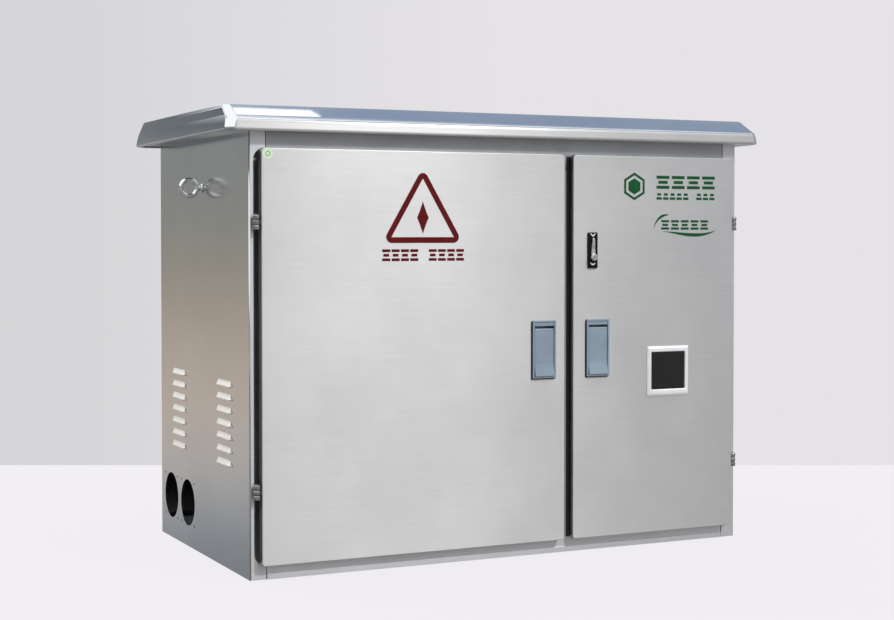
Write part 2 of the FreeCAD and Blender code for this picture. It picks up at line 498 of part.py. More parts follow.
def paddle(side):
    """Flap hung from the pin at its top; its foot flares out for the fingers."""
    x0, x1 = LOCK_X[side] - PADDLE_W / 2, LOCK_X[side] + PADDLE_W / 2
    face, foot = BEZEL_FACE + PADDLE_SET_BACK, LOCK_Z0 + FLARE_LIFT
    bend = foot + FLARE_H
    outline = [(face, PADDLE_TOP), (face, bend), (BEZEL_FACE - FLARE_OUT, foot),
               (BEZEL_FACE - FLARE_OUT + PADDLE_T, foot), (face + PADDLE_T, bend - PADDLE_T / 2),
               (face + PADDLE_T, PADDLE_TOP)]
    pin_y, pin_z = PADDLE_AXIS
    barrel = rod(x0, pin_y, pin_z, PADDLE_BARREL_R, PADDLE_W, V(1, 0, 0))
    bore = rod(x0 - 1, pin_y, pin_z, PADDLE_PIN_R + RUN_FIT, PADDLE_W + 2, V(1, 0, 0))
    return joined(profile_x(x0, x1, outline), barrel).cut(bore)


def build_locks():
    """Both paddle locks with their latch bolts."""
    for side in DOORS:
        save(side + "_lock_housing", *lock_housing(side))
        save(side + "_paddle", paddle(side))
        save(side + "_latch_bolt", bolt_body(side, 0))


def build_key_lock():
    """Key lock on the right door: escutcheon, turning lever with spindle, plug and rear cam."""
    plate_face = DOOR_FACE - KEY_PLATE_T
    boss_back = DOOR_BACK
    plate = rounded(box(KEY_X - KEY_W / 2, KEY_X + KEY_W / 2, plate_face, DOOR_FACE, KEY_Z0, KEY_Z0 + KEY_H),
                    3.0, V(0, 1, 0))
    boss = rod(KEY_X, DOOR_FACE, KEY_HUB_Z, KEY_BOSS_R, boss_back - DOOR_FACE, V(0, 1, 0))
    bore = rod(KEY_X, plate_face - 1, KEY_HUB_Z, KEY_SPINDLE_R + RUN_FIT, boss_back - plate_face + 2, V(0, 1, 0))
    save("key_lock_body", joined(plate, boss).cut(bore))
    back = plate_face - KEY_LIFT
    cam_y0 = FRONT + SHEET + 1
    hub = rod(KEY_X, back - KEY_HUB_T, KEY_HUB_Z, KEY_HUB_R, KEY_HUB_T, V(0, 1, 0))
    top = KEY_Z0 + KEY_H - KEY_LEVER_TOP
    lever = extruded([(KEY_X - 6.5, back - KEY_LEVER_T, KEY_HUB_Z), (KEY_X + 6.5, back - KEY_LEVER_T, KEY_HUB_Z),
                      (KEY_X + 3.5, back - KEY_LEVER_T, top), (KEY_X - 3.5, back - KEY_LEVER_T, top)],
                     KEY_LEVER_T, V(0, 1, 0))
    spindle = rod(KEY_X, back, KEY_HUB_Z, KEY_SPINDLE_R, cam_y0 - back, V(0, 1, 0))
    socket = rod(KEY_X, back - KEY_HUB_T - 1, KEY_HUB_Z, KEY_PLUG_R + RUN_FIT, KEY_HUB_T - 1, V(0, 1, 0))
    save("key_lock_handle", joined(hub, lever, spindle).cut(socket))
    plug = rod(KEY_X, back - KEY_HUB_T, KEY_HUB_Z, KEY_PLUG_R, KEY_HUB_T - 2 - KEY_LIFT, V(0, 1, 0))
    keyway = box(KEY_X - 0.8, KEY_X + 0.8, back - KEY_HUB_T - 1, back - KEY_HUB_T + 4, KEY_HUB_Z - 3.2,
                 KEY_HUB_Z + 3.2)
    save("key_plug", plug.cut(keyway))
    cam = rounded(box(KEY_X - KEY_CAM_W / 2, KEY_X + KEY_CAM_W / 2, cam_y0, cam_y0 + KEY_CAM_T,
                      KEY_HUB_Z - KEY_CAM_W / 2, KEY_HUB_Z + KEY_CAM_L), 6.0, V(0, 1, 0))
    save("key_lock_cam", cam)


def build_window():
    """Meter window: bevelled frame with a spigot through the door, glass and retaining gasket."""
    x0, x1 = WINDOW_X0, WINDOW_X0 + WINDOW_W
    z0, z1 = WINDOW_Z0, WINDOW_Z0 + WINDOW_H
    face = DOOR_FACE - WINDOW_T
    bezel = box(x0, x1, face, DOOR_FACE, z0, z1)
    bezel = bezel.makeChamfer(WINDOW_BEVEL, [e for e in bezel.Edges if abs(e.BoundBox.YMax - face) < 1e-4])
    lap = WINDOW_RIM - GLASS_LAP
    spigot = box(x0 + lap - SPIGOT_WALL, x1 - lap + SPIGOT_WALL, DOOR_FACE, DOOR_FACE + SPIGOT_D,
                 z0 + lap - SPIGOT_WALL, z1 - lap + SPIGOT_WALL)
    sight = box(x0 + WINDOW_RIM, x1 - WINDOW_RIM, face - 1, DOOR_FACE + SPIGOT_D + 1,
                z0 + WINDOW_RIM, z1 - WINDOW_RIM)
    rebate = box(x0 + lap, x1 - lap, DOOR_FACE, DOOR_FACE + SPIGOT_D + 1, z0 + lap, z1 - lap)
    save("window_frame", joined(bezel, spigot).cut([sight, rebate]))
    pane = lap + GLASS_CLEAR
    save("window_glass", box(x0 + pane, x1 - pane, DOOR_FACE, DOOR_FACE + GLASS_T, z0 + pane, z1 - pane))
    ring = box(x0 + pane, x1 - pane, DOOR_FACE + GLASS_T, DOOR_FACE + SPIGOT_D, z0 + pane, z1 - pane)
    save("window_gasket", ring.cut(sight))
    grow = SPIGOT_WALL - lap + CUTOUT_CLEAR
    return box(x0 - grow, x1 + grow, DOOR_FACE - 1, DOOR_FACE + SHEET + 1, z0 - grow, z1 + grow)


def build_doors():
    """Both doors with their locks, window and gaskets."""
    y0, y1 = DOOR_FACE - 1, DOOR_FACE + SHEET + 1
    lock_cuts = {side: lock_recess(side, TRAY_WALL + CUTOUT_CLEAR, y0, y1) for side in DOORS}
    key_cut = rod(KEY_X, y0, KEY_HUB_Z, KEY_BOSS_R + CUTOUT_CLEAR, y1 - y0, V(0, 1, 0))
    window_cut = build_window()
    save("left_door_skin", door_skin("left", [lock_cuts["left"]]))
    save("right_door_skin", door_skin("right", [lock_cuts["right"], key_cut, window_cut]))
    for side in DOORS:
        save(side + "_door_gasket", door_gasket(side))
    middle = (DOORS["left"][0] + LOCK_X["left"]) / 2
    face = DOOR_FACE + SHEET
    z0, z1 = DOOR_Z0 + STIFFENER_END, DOOR_Z1 - STIFFENER_END
    channel = box(middle - STIFFENER_W / 2, middle + STIFFENER_W / 2, face, face + STIFFENER_D, z0, z1)
    inside = box(middle - STIFFENER_W / 2 + SHEET, middle + STIFFENER_W / 2 - SHEET, face - 1,
                 face + STIFFENER_D - SHEET, z0 - 1, z1 + 1)
    save("left_door_stiffener", channel.cut(inside))
    build_locks()
    build_key_lock()


# ---------------------------------------------------------------- power compartment
def feed_path(x, bus, lug_y, lug_z):
    """Copper link from a busbar's face straight down, back, and down again onto a terminal lug."""
    front = BUS_Y[bus] - FEED_T
    step = lug_z + LUG_H + FEED_T
    half = FEED_W / 2
    down = box(x - half, x + half, front, BUS_Y[bus], step, BUS_Z[bus] + BUS_H / 2)
    back = box(x - half, x + half, front, lug_y, step, step + FEED_T)
    tail = box(x - half, x + half, lug_y - FEED_T, lug_y, lug_z + 2, step + FEED_T)
    return joined(down, back, tail)


def build_power():
    """Mounting plate with busbars, fused isolator, breakers, transformers, arrester and bars."""
    x0, x1 = PLATE_X
    save("mounting_plate", box(x0, x1, PLATE_FACE, PLATE_FACE + PLATE_T, PLATE_Z0, PLATE_Z1))
    depth = REAR - SHEET - PLATE_FACE - PLATE_T
    save("plate_standoffs", *[rod(x, PLATE_FACE + PLATE_T, z, STANDOFF_R, depth, V(0, 1, 0))
                              for x in (x0 + 30, (x0 + x1) / 2, x1 - 30) for z in (PLATE_Z0 + 30, PLATE_Z1 - 30)])
    bars = [box(x0 + 20, x1 - 20, BUS_Y[i], BUS_Y[i] + BUS_T, BUS_Z[i] - BUS_H / 2, BUS_Z[i] + BUS_H / 2)
            for i in range(3)]
    save("phase_busbars", *bars)
    insulators = [rod(x, BUS_Y[i] + BUS_T, BUS_Z[i], POST_INSULATOR_R, PLATE_FACE - BUS_Y[i] - BUS_T, V(0, 1, 0))
                  for x in (x0 + 45, (x0 + x1) / 2, x1 - 45) for i in range(3)]
    ground_x0 = x0 + 20
    ground_x1 = ground_x0 + GROUND_BAR_L
    neutral_y = PLATE_FACE - BUS_OUT
    insulators += [rod(x, neutral_y + BUS_T, NEUTRAL_BAR_Z, POST_INSULATOR_R, BUS_OUT - BUS_T, V(0, 1, 0))
                   for x in (ground_x0 + 30, ground_x1 - 30)]
    save("busbar_insulators", *insulators)
    holes = [ground_x0 + 20 + i * 30 for i in range(int((GROUND_BAR_L - 20) // 30))]
    neutral = box(ground_x0, ground_x1, neutral_y, neutral_y + BUS_T, NEUTRAL_BAR_Z - BUS_H / 2,
                  NEUTRAL_BAR_Z + BUS_H / 2)
    save("neutral_bar", neutral.cut([rod(x, neutral_y - 1, NEUTRAL_BAR_Z, 4.5, BUS_T + 2, V(0, 1, 0))
                                     for x in holes[1:-1]]))
    earth = box(ground_x0, ground_x1, PLATE_FACE - BUS_T, PLATE_FACE, GROUND_BAR_Z - BUS_H / 2,
                GROUND_BAR_Z + BUS_H / 2)
    save("earth_bar", earth, *[hexagon_bolt(x, PLATE_FACE - BUS_T, GROUND_BAR_Z, 13, 6, V(0, -1, 0))
                               for x in holes])
    build_isolator()
    build_breakers()
    caps = []
    for i in range(CAPACITORS):
        x = PLATE_X[1] - CAP_R - i * CAP_PITCH
        can = rod(x, CAP_Y, FLOOR_Z, CAP_R, CAP_H)
        lid = rod(x, CAP_Y, FLOOR_Z + CAP_H, CAP_R * 0.7, 8)
        studs = [rod(x + CAP_R * 0.4 * math.cos(math.radians(a)), CAP_Y + CAP_R * 0.4 * math.sin(math.radians(a)),
                     FLOOR_Z + CAP_H + 8, 4, 16) for a in (90, 210, 330)]
        caps.append(joined(can, lid, *studs))
    save("capacitor_cans", *caps)
    spd_z0 = ISO_Z0 - SPD_H - 45
    module = SPD_W / SPD_MODULES
    save("surge_arrester", *[joined(
        box(x0 + 40 + i * module + 0.2, x0 + 40 + (i + 1) * module - 0.2, PLATE_FACE - SPD_D + 14, PLATE_FACE,
            spd_z0, spd_z0 + SPD_H),
        box(x0 + 40 + i * module + 1, x0 + 40 + (i + 1) * module - 1, PLATE_FACE - SPD_D, PLATE_FACE,
            spd_z0 + 24, spd_z0 + SPD_H - 24)) for i in range(SPD_MODULES)])


def build_isolator():
    """Fused isolator: base with a chamber per pole, hinged carrier with a grip, and its fuse links."""
    x0, x1 = ISO_X - ISO_W / 2, ISO_X + ISO_W / 2
    front = PLATE_FACE - ISO_D
    base = box(x0, x1, front, PLATE_FACE, ISO_Z0, ISO_Z0 + ISO_H)
    poles = [ISO_X + (i - 1) * ISO_POLE_PITCH for i in range(3)]
    chambers = [box(x - ISO_CHAMBER_W / 2, x + ISO_CHAMBER_W / 2, front - 1, front + ISO_CHAMBER_D,
                    ISO_Z0 + ISO_EDGE, ISO_Z0 + ISO_H - ISO_EDGE) for x in poles]
    lug_y = front + 20
    lugs = [box(x - LUG_W / 2, x + LUG_W / 2, lug_y, lug_y + LUG_T, z, z + LUG_H + 2)
            for x in poles for z in (ISO_Z0 + ISO_H - 2, ISO_Z0 - LUG_H)]
    carrier_back = front - CARRIER_CLEAR
    carrier_front = carrier_back - CARRIER_T
    axis_y, axis_z = carrier_back - CARRIER_T / 2, ISO_Z0 + 8 + CARRIER_T / 2
    ear_w, ear_r = CARRIER_SIDE - 0.5, CARRIER_T / 2 + 2
    ears = [joined(rod(x, axis_y, axis_z, ear_r, ear_w, V(1, 0, 0)),
                   box(x, x + ear_w, axis_y, front, axis_z - ear_r, axis_z + ear_r))
            for x in (x0, x1 - ear_w)]
    pivots = rod(x0 - 1, axis_y, axis_z, TRUNNION_R + RUN_FIT, ISO_W + 2, V(1, 0, 0))
    save("isolator_base", joined(base.cut(chambers), *lugs, *ears).cut(pivots))
    links = [feed_path(x, i, lug_y, ISO_Z0 + ISO_H) for i, x in enumerate(poles)]
    ct_z0 = ISO_Z0 + ISO_H + LUG_H + 3 * FEED_T
    rings = []
    for i, x in enumerate(poles):
        y = BUS_Y[i] - FEED_T / 2
        body = box(x - CT_W / 2, x + CT_W / 2, y - CT_D / 2, y + CT_D / 2, ct_z0, ct_z0 + CT_H)
        slot = box(x - FEED_W / 2 - CT_SLOT_CLEAR, x + FEED_W / 2 + CT_SLOT_CLEAR,
                   y - FEED_T / 2 - CT_SLOT_CLEAR, y + FEED_T / 2 + CT_SLOT_CLEAR, ct_z0 - 1, ct_z0 + CT_H + 1)
        rings.append(body.cut(slot))
    save("current_transformers", *rings)
    panel = box(x0 + CARRIER_SIDE, x1 - CARRIER_SIDE, carrier_front, carrier_back, axis_z, ISO_Z0 + ISO_H - 8)
    roll = rod(x0 + CARRIER_SIDE, axis_y, axis_z, CARRIER_T / 2, ISO_W - 2 * CARRIER_SIDE, V(1, 0, 0))
    trunnions = rod(x0 + 0.5, axis_y, axis_z, TRUNNION_R, ISO_W - 1, V(1, 0, 0))
    grip_y = carrier_front - GRIP_D
    grip_z = ISO_Z0 + ISO_H - 30
    half = GRIP_W / 2
    grip = rod(ISO_X - half, grip_y, grip_z, GRIP_R, GRIP_W, V(1, 0, 0))
    arms = [box(ISO_X + side * half - 5, ISO_X + side * half + 5, grip_y, carrier_front, grip_z - 7, grip_z + 7)
            for side in (-1, 1)]
    save("isolator_carrier", joined(panel, roll, trunnions, grip, *arms))
    fuses = []
    for x in poles:
        z0 = ISO_Z0 + (ISO_H - FUSE_H) / 2
        body = box(x - FUSE_W / 2, x + FUSE_W / 2, carrier_back, carrier_back + FUSE_D, z0, z0 + FUSE_H)
        blades = [box(x - BLADE_T / 2, x + BLADE_T / 2, carrier_back + 8, carrier_back + FUSE_D - 2,
                      z, z + BLADE_H) for z in (z0 - BLADE_H, z0 + FUSE_H)]
        fuses.append(joined(body, *blades))
    save("fuse_links", *fuses)
    build_feeders(links)


def build_feeders(links):
    """Copper links from the busbars to the breakers, saved with the isolator's."""
    lug_y = PLATE_FACE - BREAKER_D / 2
    for centre in BREAKER_X:
        links += [feed_path(centre + (i - 1) * BREAKER_POLE_PITCH, i, lug_y, BREAKER_Z0 + BREAKER_H)
                  for i in range(3)]
    save("feeder_bars", *links)


def toggle_pivot():
    """Height and depth of the breaker toggles' axis."""
    return PLATE_FACE - BREAKER_D + 14, BREAKER_Z0 + BREAKER_H / 2


def build_breakers():
    """Moulded-case breakers: case with lugs and toggle slot, and a rocking toggle each."""
    cases = []
    pivot_y, pivot_z = toggle_pivot()
    front = PLATE_FACE - BREAKER_D
    for number, x in enumerate(BREAKER_X, 1):
        body = rounded(box(x - BREAKER_W / 2, x + BREAKER_W / 2, front, PLATE_FACE, BREAKER_Z0,
                           BREAKER_Z0 + BREAKER_H), 3.0, V(0, 1, 0))
        nose = box(x - NOSE_W / 2, x + NOSE_W / 2, front - NOSE_D, front, pivot_z - NOSE_H / 2,
                   pivot_z + NOSE_H / 2)
        slot = box(x - TOGGLE_SLOT_W / 2, x + TOGGLE_SLOT_W / 2, front - NOSE_D - 1,
                   pivot_y + TOGGLE_R + 2, pivot_z - TOGGLE_SLOT_H / 2, pivot_z + TOGGLE_SLOT_H / 2)
        lug_y = PLATE_FACE - BREAKER_D / 2
        lugs = [box(x + (i - 1) * BREAKER_POLE_PITCH - LUG_W / 2, x + (i - 1) * BREAKER_POLE_PITCH + LUG_W / 2,
                    lug_y, lug_y + LUG_T, z0, z0 + LUG_H + 2)
                for i in range(3) for z0 in (BREAKER_Z0 + BREAKER_H - 2, BREAKER_Z0 - LUG_H)]
        cases.append(joined(body, nose, *lugs).cut(slot))
        half = TOGGLE_W / 2
        drum = rod(x - half, pivot_y, pivot_z, TOGGLE_R, TOGGLE_W, V(1, 0, 0))
        lever = box(x - half, x + half, pivot_y - TOGGLE_REACH, pivot_y, pivot_z - TOGGLE_T / 2,
                    pivot_z + TOGGLE_T / 2)
        toggle = joined(drum, lever)
        toggle.rotate(V(x, pivot_y, pivot_z), V(1, 0, 0), -TOGGLE_REST)
        save("breaker_toggle_%d" % number, toggle)
    save("breaker_cases", *cases)


# ---------------------------------------------------------------- metering compartment
def build_metering():
    """Partition, board, energy meter with its button, test terminals and data collector."""
    save("partition_wall", box(WALL_X, WALL_X + SHEET, FRONT + RAIL_D, REAR - SHEET, FLOOR_Z, BODY_H - SHEET))
    save("meter_board", box(WALL_X + SHEET, RIGHT - SHEET, BOARD_FACE, BOARD_FACE + SHEET, BOARD_Z0,
                            BODY_H - BOARD_TOP))
    x0, x1 = METER_X - METER_W / 2, METER_X + METER_W / 2
    z1 = METER_Z0 + METER_H
    base_face = BOARD_FACE - METER_D
    base = rounded(box(x0, x1, base_face, BOARD_FACE, METER_Z0, z1), METER_CORNER_R, V(0, 1, 0))
    save("meter_base", base)
    cover_z0 = METER_Z0 + COVER_DROP
    shell = rounded(box(x0, x1, base_face - COVER_D, base_face, cover_z0, z1), METER_CORNER_R, V(0, 1, 0))
    inner = box(x0 + COVER_WALL, x1 - COVER_WALL, base_face - COVER_D + COVER_WALL, base_face + 1,
                cover_z0 + COVER_WALL, z1 - COVER_WALL)
    button_x, button_z = METER_X + BUTTON_SIDE, z1 - BUTTON_DROP
    shaft = rod(button_x, base_face - COVER_D - 1, button_z, BUTTON_R + RUN_FIT, COVER_WALL + 2, V(0, 1, 0))
    save("meter_cover", shell.cut([inner, shaft]))
    button_face = base_face - COVER_D - BUTTON_OUT
    save("meter_button", joined(rod(button_x, button_face, button_z, BUTTON_R, BUTTON_OUT + COVER_WALL + 0.5,
                                    V(0, 1, 0)),
                                rod(button_x, button_face + BUTTON_OUT + COVER_WALL + 0.5, button_z,
                                    BUTTON_R + 2, 3, V(0, 1, 0))))
    display_z1 = z1 - DISPLAY_TOP
    save("meter_display", box(METER_X - DISPLAY_W / 2, METER_X + DISPLAY_W / 2, base_face - DISPLAY_T, base_face,
                              display_z1 - DISPLAY_H, display_z1))
    tx0 = METER_X - TERMINAL_W / 2
    tz1 = METER_Z0 - 45
    step = TERMINAL_W / TERMINAL_WAYS
    block = box(tx0, tx0 + TERMINAL_W, BOARD_FACE - TERMINAL_D, BOARD_FACE, tz1 - TERMINAL_H, tz1)
    pockets = [box(tx0 + i * step + 3, tx0 + (i + 1) * step - 3, BOARD_FACE - TERMINAL_D - 1,
                   BOARD_FACE - TERMINAL_D + TERMINAL_WELL, z - 10, z + 10)
               for i in range(TERMINAL_WAYS) for z in (tz1 - 16, tz1 - TERMINAL_H + 16)]
    save("test_terminal_block", block.cut(pockets))
    cz0 = z1 + COLLECTOR_UP
    cx0 = METER_X - COLLECTOR_W / 2
    case = rounded(box(cx0, cx0 + COLLECTOR_W, BOARD_FACE - COLLECTOR_D, BOARD_FACE, cz0, cz0 + COLLECTOR_H),
                   5.0, V(0, 1, 0))
    panel = box(cx0 + 12, cx0 + COLLECTOR_W - 12, BOARD_FACE - COLLECTOR_D - 4, BOARD_FACE - COLLECTOR_D,
                cz0 + 40, cz0 + COLLECTOR_H - 12)
    save("collector_unit", joined(case, panel))


def main():
    """Write every node."""
    os.makedirs("parts", exist_ok=True)
    build_shell()
    save("eye_bolts", eye_bolt(), mirrored(eye_bolt()), eye_nut(), mirrored(eye_nut()))
    build_hinges()
    build_doors()
    build_power()
    build_metering()


main()
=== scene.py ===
"""Looks of an outdoor stainless distribution cabinet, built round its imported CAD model.

Lengths are in metres in the CAD frame: +Z up, +X to the right and -Y out of the doors.
"""
from __future__ import annotations

import json
import logging
import math
from dataclasses import dataclass, field
from enum import Enum
from typing import Any, Iterable, Sequence

import bmesh
import bpy
import numpy as np
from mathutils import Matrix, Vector
from mathutils.geometry import tessellate_polygon

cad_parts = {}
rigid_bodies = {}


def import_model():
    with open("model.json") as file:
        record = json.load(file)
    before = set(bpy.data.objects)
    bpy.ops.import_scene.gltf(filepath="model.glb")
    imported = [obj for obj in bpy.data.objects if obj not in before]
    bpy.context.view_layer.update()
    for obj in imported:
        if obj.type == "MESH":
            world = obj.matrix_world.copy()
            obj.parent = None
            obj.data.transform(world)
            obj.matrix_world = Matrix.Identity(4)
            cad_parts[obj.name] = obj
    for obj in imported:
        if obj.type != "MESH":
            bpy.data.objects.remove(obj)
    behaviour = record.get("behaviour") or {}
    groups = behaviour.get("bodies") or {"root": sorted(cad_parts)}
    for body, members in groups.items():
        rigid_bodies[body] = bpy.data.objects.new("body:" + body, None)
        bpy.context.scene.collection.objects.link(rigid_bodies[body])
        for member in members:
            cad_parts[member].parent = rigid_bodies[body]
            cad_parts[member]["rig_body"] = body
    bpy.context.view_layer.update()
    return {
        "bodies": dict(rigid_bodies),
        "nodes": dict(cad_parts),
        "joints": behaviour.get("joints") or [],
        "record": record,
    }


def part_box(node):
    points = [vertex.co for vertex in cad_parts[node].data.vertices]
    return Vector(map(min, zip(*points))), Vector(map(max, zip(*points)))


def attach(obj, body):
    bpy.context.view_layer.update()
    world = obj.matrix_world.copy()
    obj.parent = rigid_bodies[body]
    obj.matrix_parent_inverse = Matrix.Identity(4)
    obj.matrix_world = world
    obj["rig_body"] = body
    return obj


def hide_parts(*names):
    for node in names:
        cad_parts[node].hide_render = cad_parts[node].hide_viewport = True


LOG = logging.getLogger("cabinet")
Array = np.ndarray
MM = 0.001
IMAGE_W, IMAGE_H = 894, 620


# ------------------------------------------------------------------ surfaces
@dataclass
class Shape:
    """Points and faces of a piece, or of part of one."""

    points: Array
    faces: list[list[int]]

    def __add__(self, other: "Shape") -> "Shape":
        """Both shapes as one."""
        shift = len(self.points)
        return Shape(np.concatenate([self.points, other.points]),
                     self.faces + [[i + shift for i in face] for face in other.faces])

    def mirrored(self) -> "Shape":
        """The shape on the other side of the plane x = 0, still facing outwards."""
        return Shape(self.points * (-1, 1, 1), [face[::-1] for face in self.faces])

    def moved(self, x: float = 0.0, y: float = 0.0, z: float = 0.0) -> "Shape":
        """The shape shifted by x, y and z."""
        return Shape(self.points + (x, y, z), self.faces)


def together(shapes: Iterable[Shape]) -> Shape:
    """All the shapes as one."""
    shapes = list(shapes)
    total = shapes[0]
    for shape in shapes[1:]:
        total = total + shape
    return total


def lattice(points: Array, wrap_rows: bool = False, wrap_columns: bool = False) -> Shape:
    """Quads between neighbours of a grid of points.

    Args:
        points: rows x columns x 3.
        wrap_rows: also joins the last row to the first.
        wrap_columns: also joins the last column to the first.

    Returns:
        The surface.
    """
    rows, columns = points.shape[:2]
    i = np.arange(rows if wrap_rows else rows - 1)[:, None]
    j = np.arange(columns if wrap_columns else columns - 1)[None, :]
    ahead, beside = (i + 1) % rows, (j + 1) % columns
    corners = np.broadcast_arrays(i * columns + j, i * columns + beside, ahead * columns + beside,
                                  ahead * columns + j)
    return Shape(points.reshape(-1, 3), np.stack(corners, -1).reshape(-1, 4).tolist())


def lofted(rings: Array) -> Shape:
    """Closed skin through a row of closed rings, with a flat cap on the first and the last."""
    count, around = rings.shape[:2]
    skin = lattice(rings, wrap_columns=True)
    last = (count - 1) * around
    return Shape(skin.points, skin.faces + [list(range(around))[::-1], list(range(last, last + around))])


def rounded_outline(x0: float, x1: float, z0: float, z1: float, radius: float, steps: int = 5) -> Array:
    """Rectangle whose corners are quarter circles: centre + radius (cos a, sin a), as (x, z) points."""
    quarter = np.linspace(0, math.pi / 2, steps + 1)
    centres = ((x1 - radius, z1 - radius), (x0 + radius, z1 - radius),
               (x0 + radius, z0 + radius), (x1 - radius, z0 + radius))
    arcs = [np.stack([cx + radius * np.cos(quarter + k * math.pi / 2),
                      cz + radius * np.sin(quarter + k * math.pi / 2)], 1)
            for k, (cx, cz) in enumerate(centres)]
    return np.concatenate(arcs)


@dataclass(frozen=True)
class Face:
    """Upright rectangle, seen from the front, that plates and frames are built on."""

    x0: float
    x1: float
    z0: float
    z1: float

    @classmethod
    def of(cls, node: str) -> "Face":
        """Outline of a CAD node seen from the front."""
        low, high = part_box(node)
        return cls(low[0], high[0], low[2], high[2])

    @property
    def middle(self) -> tuple[float, float]:
        """Its centre as (x, z)."""
        return (self.x0 + self.x1) / 2, (self.z0 + self.z1) / 2

    def grown(self, by: float) -> "Face":
        """The rectangle larger by a margin all round."""
        return Face(self.x0 - by, self.x1 + by, self.z0 - by, self.z1 + by)

    def rings(self, profile: Sequence[tuple[float, float]], corner: float) -> Array:
        """Rounded outlines that follow a profile.

        Args:
            profile: (inset, y) of each ring.
            corner: corner radius at no inset; it shrinks with the inset.

        Returns:
            rings x points x 3.
        """
        rings = []
        for inset, y in profile:
            flat = rounded_outline(self.x0 + inset, self.x1 - inset, self.z0 + inset, self.z1 - inset,
                                   max(corner - inset, 0.3 * MM))
            rings.append(np.stack([flat[:, 0], np.full(len(flat), y), flat[:, 1]], 1))
        return np.array(rings)

    def plate(self, back: float, front: float, corner: float, edge: float) -> Shape:
        """Slab with rounded corners whose front edge is a quarter circle in section."""
        t = np.linspace(0, math.pi / 2, 5)
        rim = [(edge * (1 - math.cos(a)), front + edge * (1 - math.sin(a))) for a in t]
        return lofted(self.rings([(0.0, back)] + rim, corner))

    def frame(self, profile: Sequence[tuple[float, float]], corner: float) -> Shape:
        """Closed frame: a closed profile of (inset, y) carried round the outline."""
        return lattice(self.rings(profile, corner), wrap_rows=True, wrap_columns=True)


class Axis(Enum):
    """Direction that a turned shape stands along, with the two directions across it."""

    X = ((1, 0, 0), (0, 1, 0), (0, 0, 1))
    LEFT = ((-1, 0, 0), (0, 0, 1), (0, 1, 0))
    Y = ((0, 1, 0), (0, 0, 1), (1, 0, 0))
    FRONT = ((0, -1, 0), (1, 0, 0), (0, 0, 1))
    Z = ((0, 0, 1), (1, 0, 0), (0, 1, 0))


def turned(profile: Sequence[tuple[float, float]], at: Sequence[float], axis: Axis, steps: int = 32) -> Shape:
    """Surface of revolution: a profile of (radius, height) carried round an axis, capped at both ends."""
    along, side, other = (np.array(v, float) for v in axis.value)
    angle = np.linspace(0, 2 * math.pi, steps, endpoint=False)[:, None]
    spokes = np.cos(angle) * side + np.sin(angle) * other
    rings = np.array([np.array(at) + along * height + spokes * max(radius, 1e-5) for radius, height in profile])
    return lofted(rings)


def rounded_rod(radius: float, length: float, edge: float, steps: int = 4) -> list[tuple[float, float]]:
    """Profile of a rod whose two end edges are quarter circles."""
    t = np.linspace(0, math.pi / 2, steps + 1)
    start = [(radius - edge + edge * math.sin(a), edge - edge * math.cos(a)) for a in t]
    end = [(r, length - h) for r, h in reversed(start)]
    return [(0.0, 0.0)] + start + end + [(0.0, length)]


def carried(section: Array, path: Array, normal: Sequence[float], closed: bool = False) -> Shape:
    """Sweeps a section along a flat path.

    Args:
        section: points x 2, as (across the path in its plane, along the normal).
        path: points x 3, all in one plane.
        normal: unit normal of that plane.
        closed: whether the path's end meets its start.

    Returns:
        The closed skin.
    """
    normal = np.array(normal, float)
    if closed:
        ahead = np.roll(path, -1, 0) - np.roll(path, 1, 0)
    else:
        ahead = np.gradient(path, axis=0)
    ahead /= np.linalg.norm(ahead, axis=1)[:, None]
    side = np.cross(ahead, normal)
    rings = path[:, None] + section[None, :, :1] * side[:, None] + section[None, :, 1:] * normal
    return lattice(rings, wrap_rows=True, wrap_columns=True) if closed else lofted(rings)


def circle(radius: float, steps: int = 16) -> Array:
    """Round section, as points x 2."""
    angle = np.linspace(0, 2 * math.pi, steps, endpoint=False)
    return np.stack([radius * np.cos(angle), radius * np.sin(angle)], 1)


def block(x0: float, x1: float, y0: float, y1: float, z0: float, z1: float) -> Shape:
    """Rectangular block, for pieces whose edges a bevel rounds."""
    x, y, z = (np.array(v) for v in ((x0, x1), (y0, y1), (z0, z1)))
    points = np.stack(np.meshgrid(x, y, z, indexing="ij"), -1).reshape(-1, 3)
    return Shape(points, [[0, 1, 3, 2], [4, 6, 7, 5], [0, 4, 5, 1], [2, 3, 7, 6], [0, 2, 6, 4], [1, 5, 7, 3]])


def prism(outline: Array, y0: float, y1: float) -> Shape:
    """Flat outline of (x, z) points given a thickness along Y."""
    rings = [np.stack([outline[:, 0], np.full(len(outline), y), outline[:, 1]], 1) for y in (y0, y1)]
    return lofted(np.array(rings))


# ------------------------------------------------------------------ finishes
def linear(hex_colour: str) -> tuple[float, float, float, float]:
    """Linear red, green, blue and alpha of an sRGB hex colour."""
    values = [int(hex_colour[i:i + 2], 16) / 255 for i in (1, 3, 5)]
    red, green, blue = (v / 12.92 if v <= 0.04045 else ((v + 0.055) / 1.055) ** 2.4 for v in values)
    return red, green, blue, 1.0


def add(tree: bpy.types.NodeTree, kind: str, inputs: dict[Any, Any] | None = None, **settings: Any) -> Any:
    """Adds a node with its settings, input values and links.

    Args:
        tree: the node tree.
        kind: node type without its "ShaderNode" prefix.
        inputs: value or source socket of each input, by name or number.
        settings: attributes of the node.

    Returns:
        The node.
    """
    node = tree.nodes.new("ShaderNode" + kind)
    for name, value in settings.items():
        setattr(node, name, value)
    for name, value in (inputs or {}).items():
        if isinstance(value, bpy.types.NodeSocket):
            tree.links.new(value, node.inputs[name])
        else:
            node.inputs[name].default_value = value
    return node


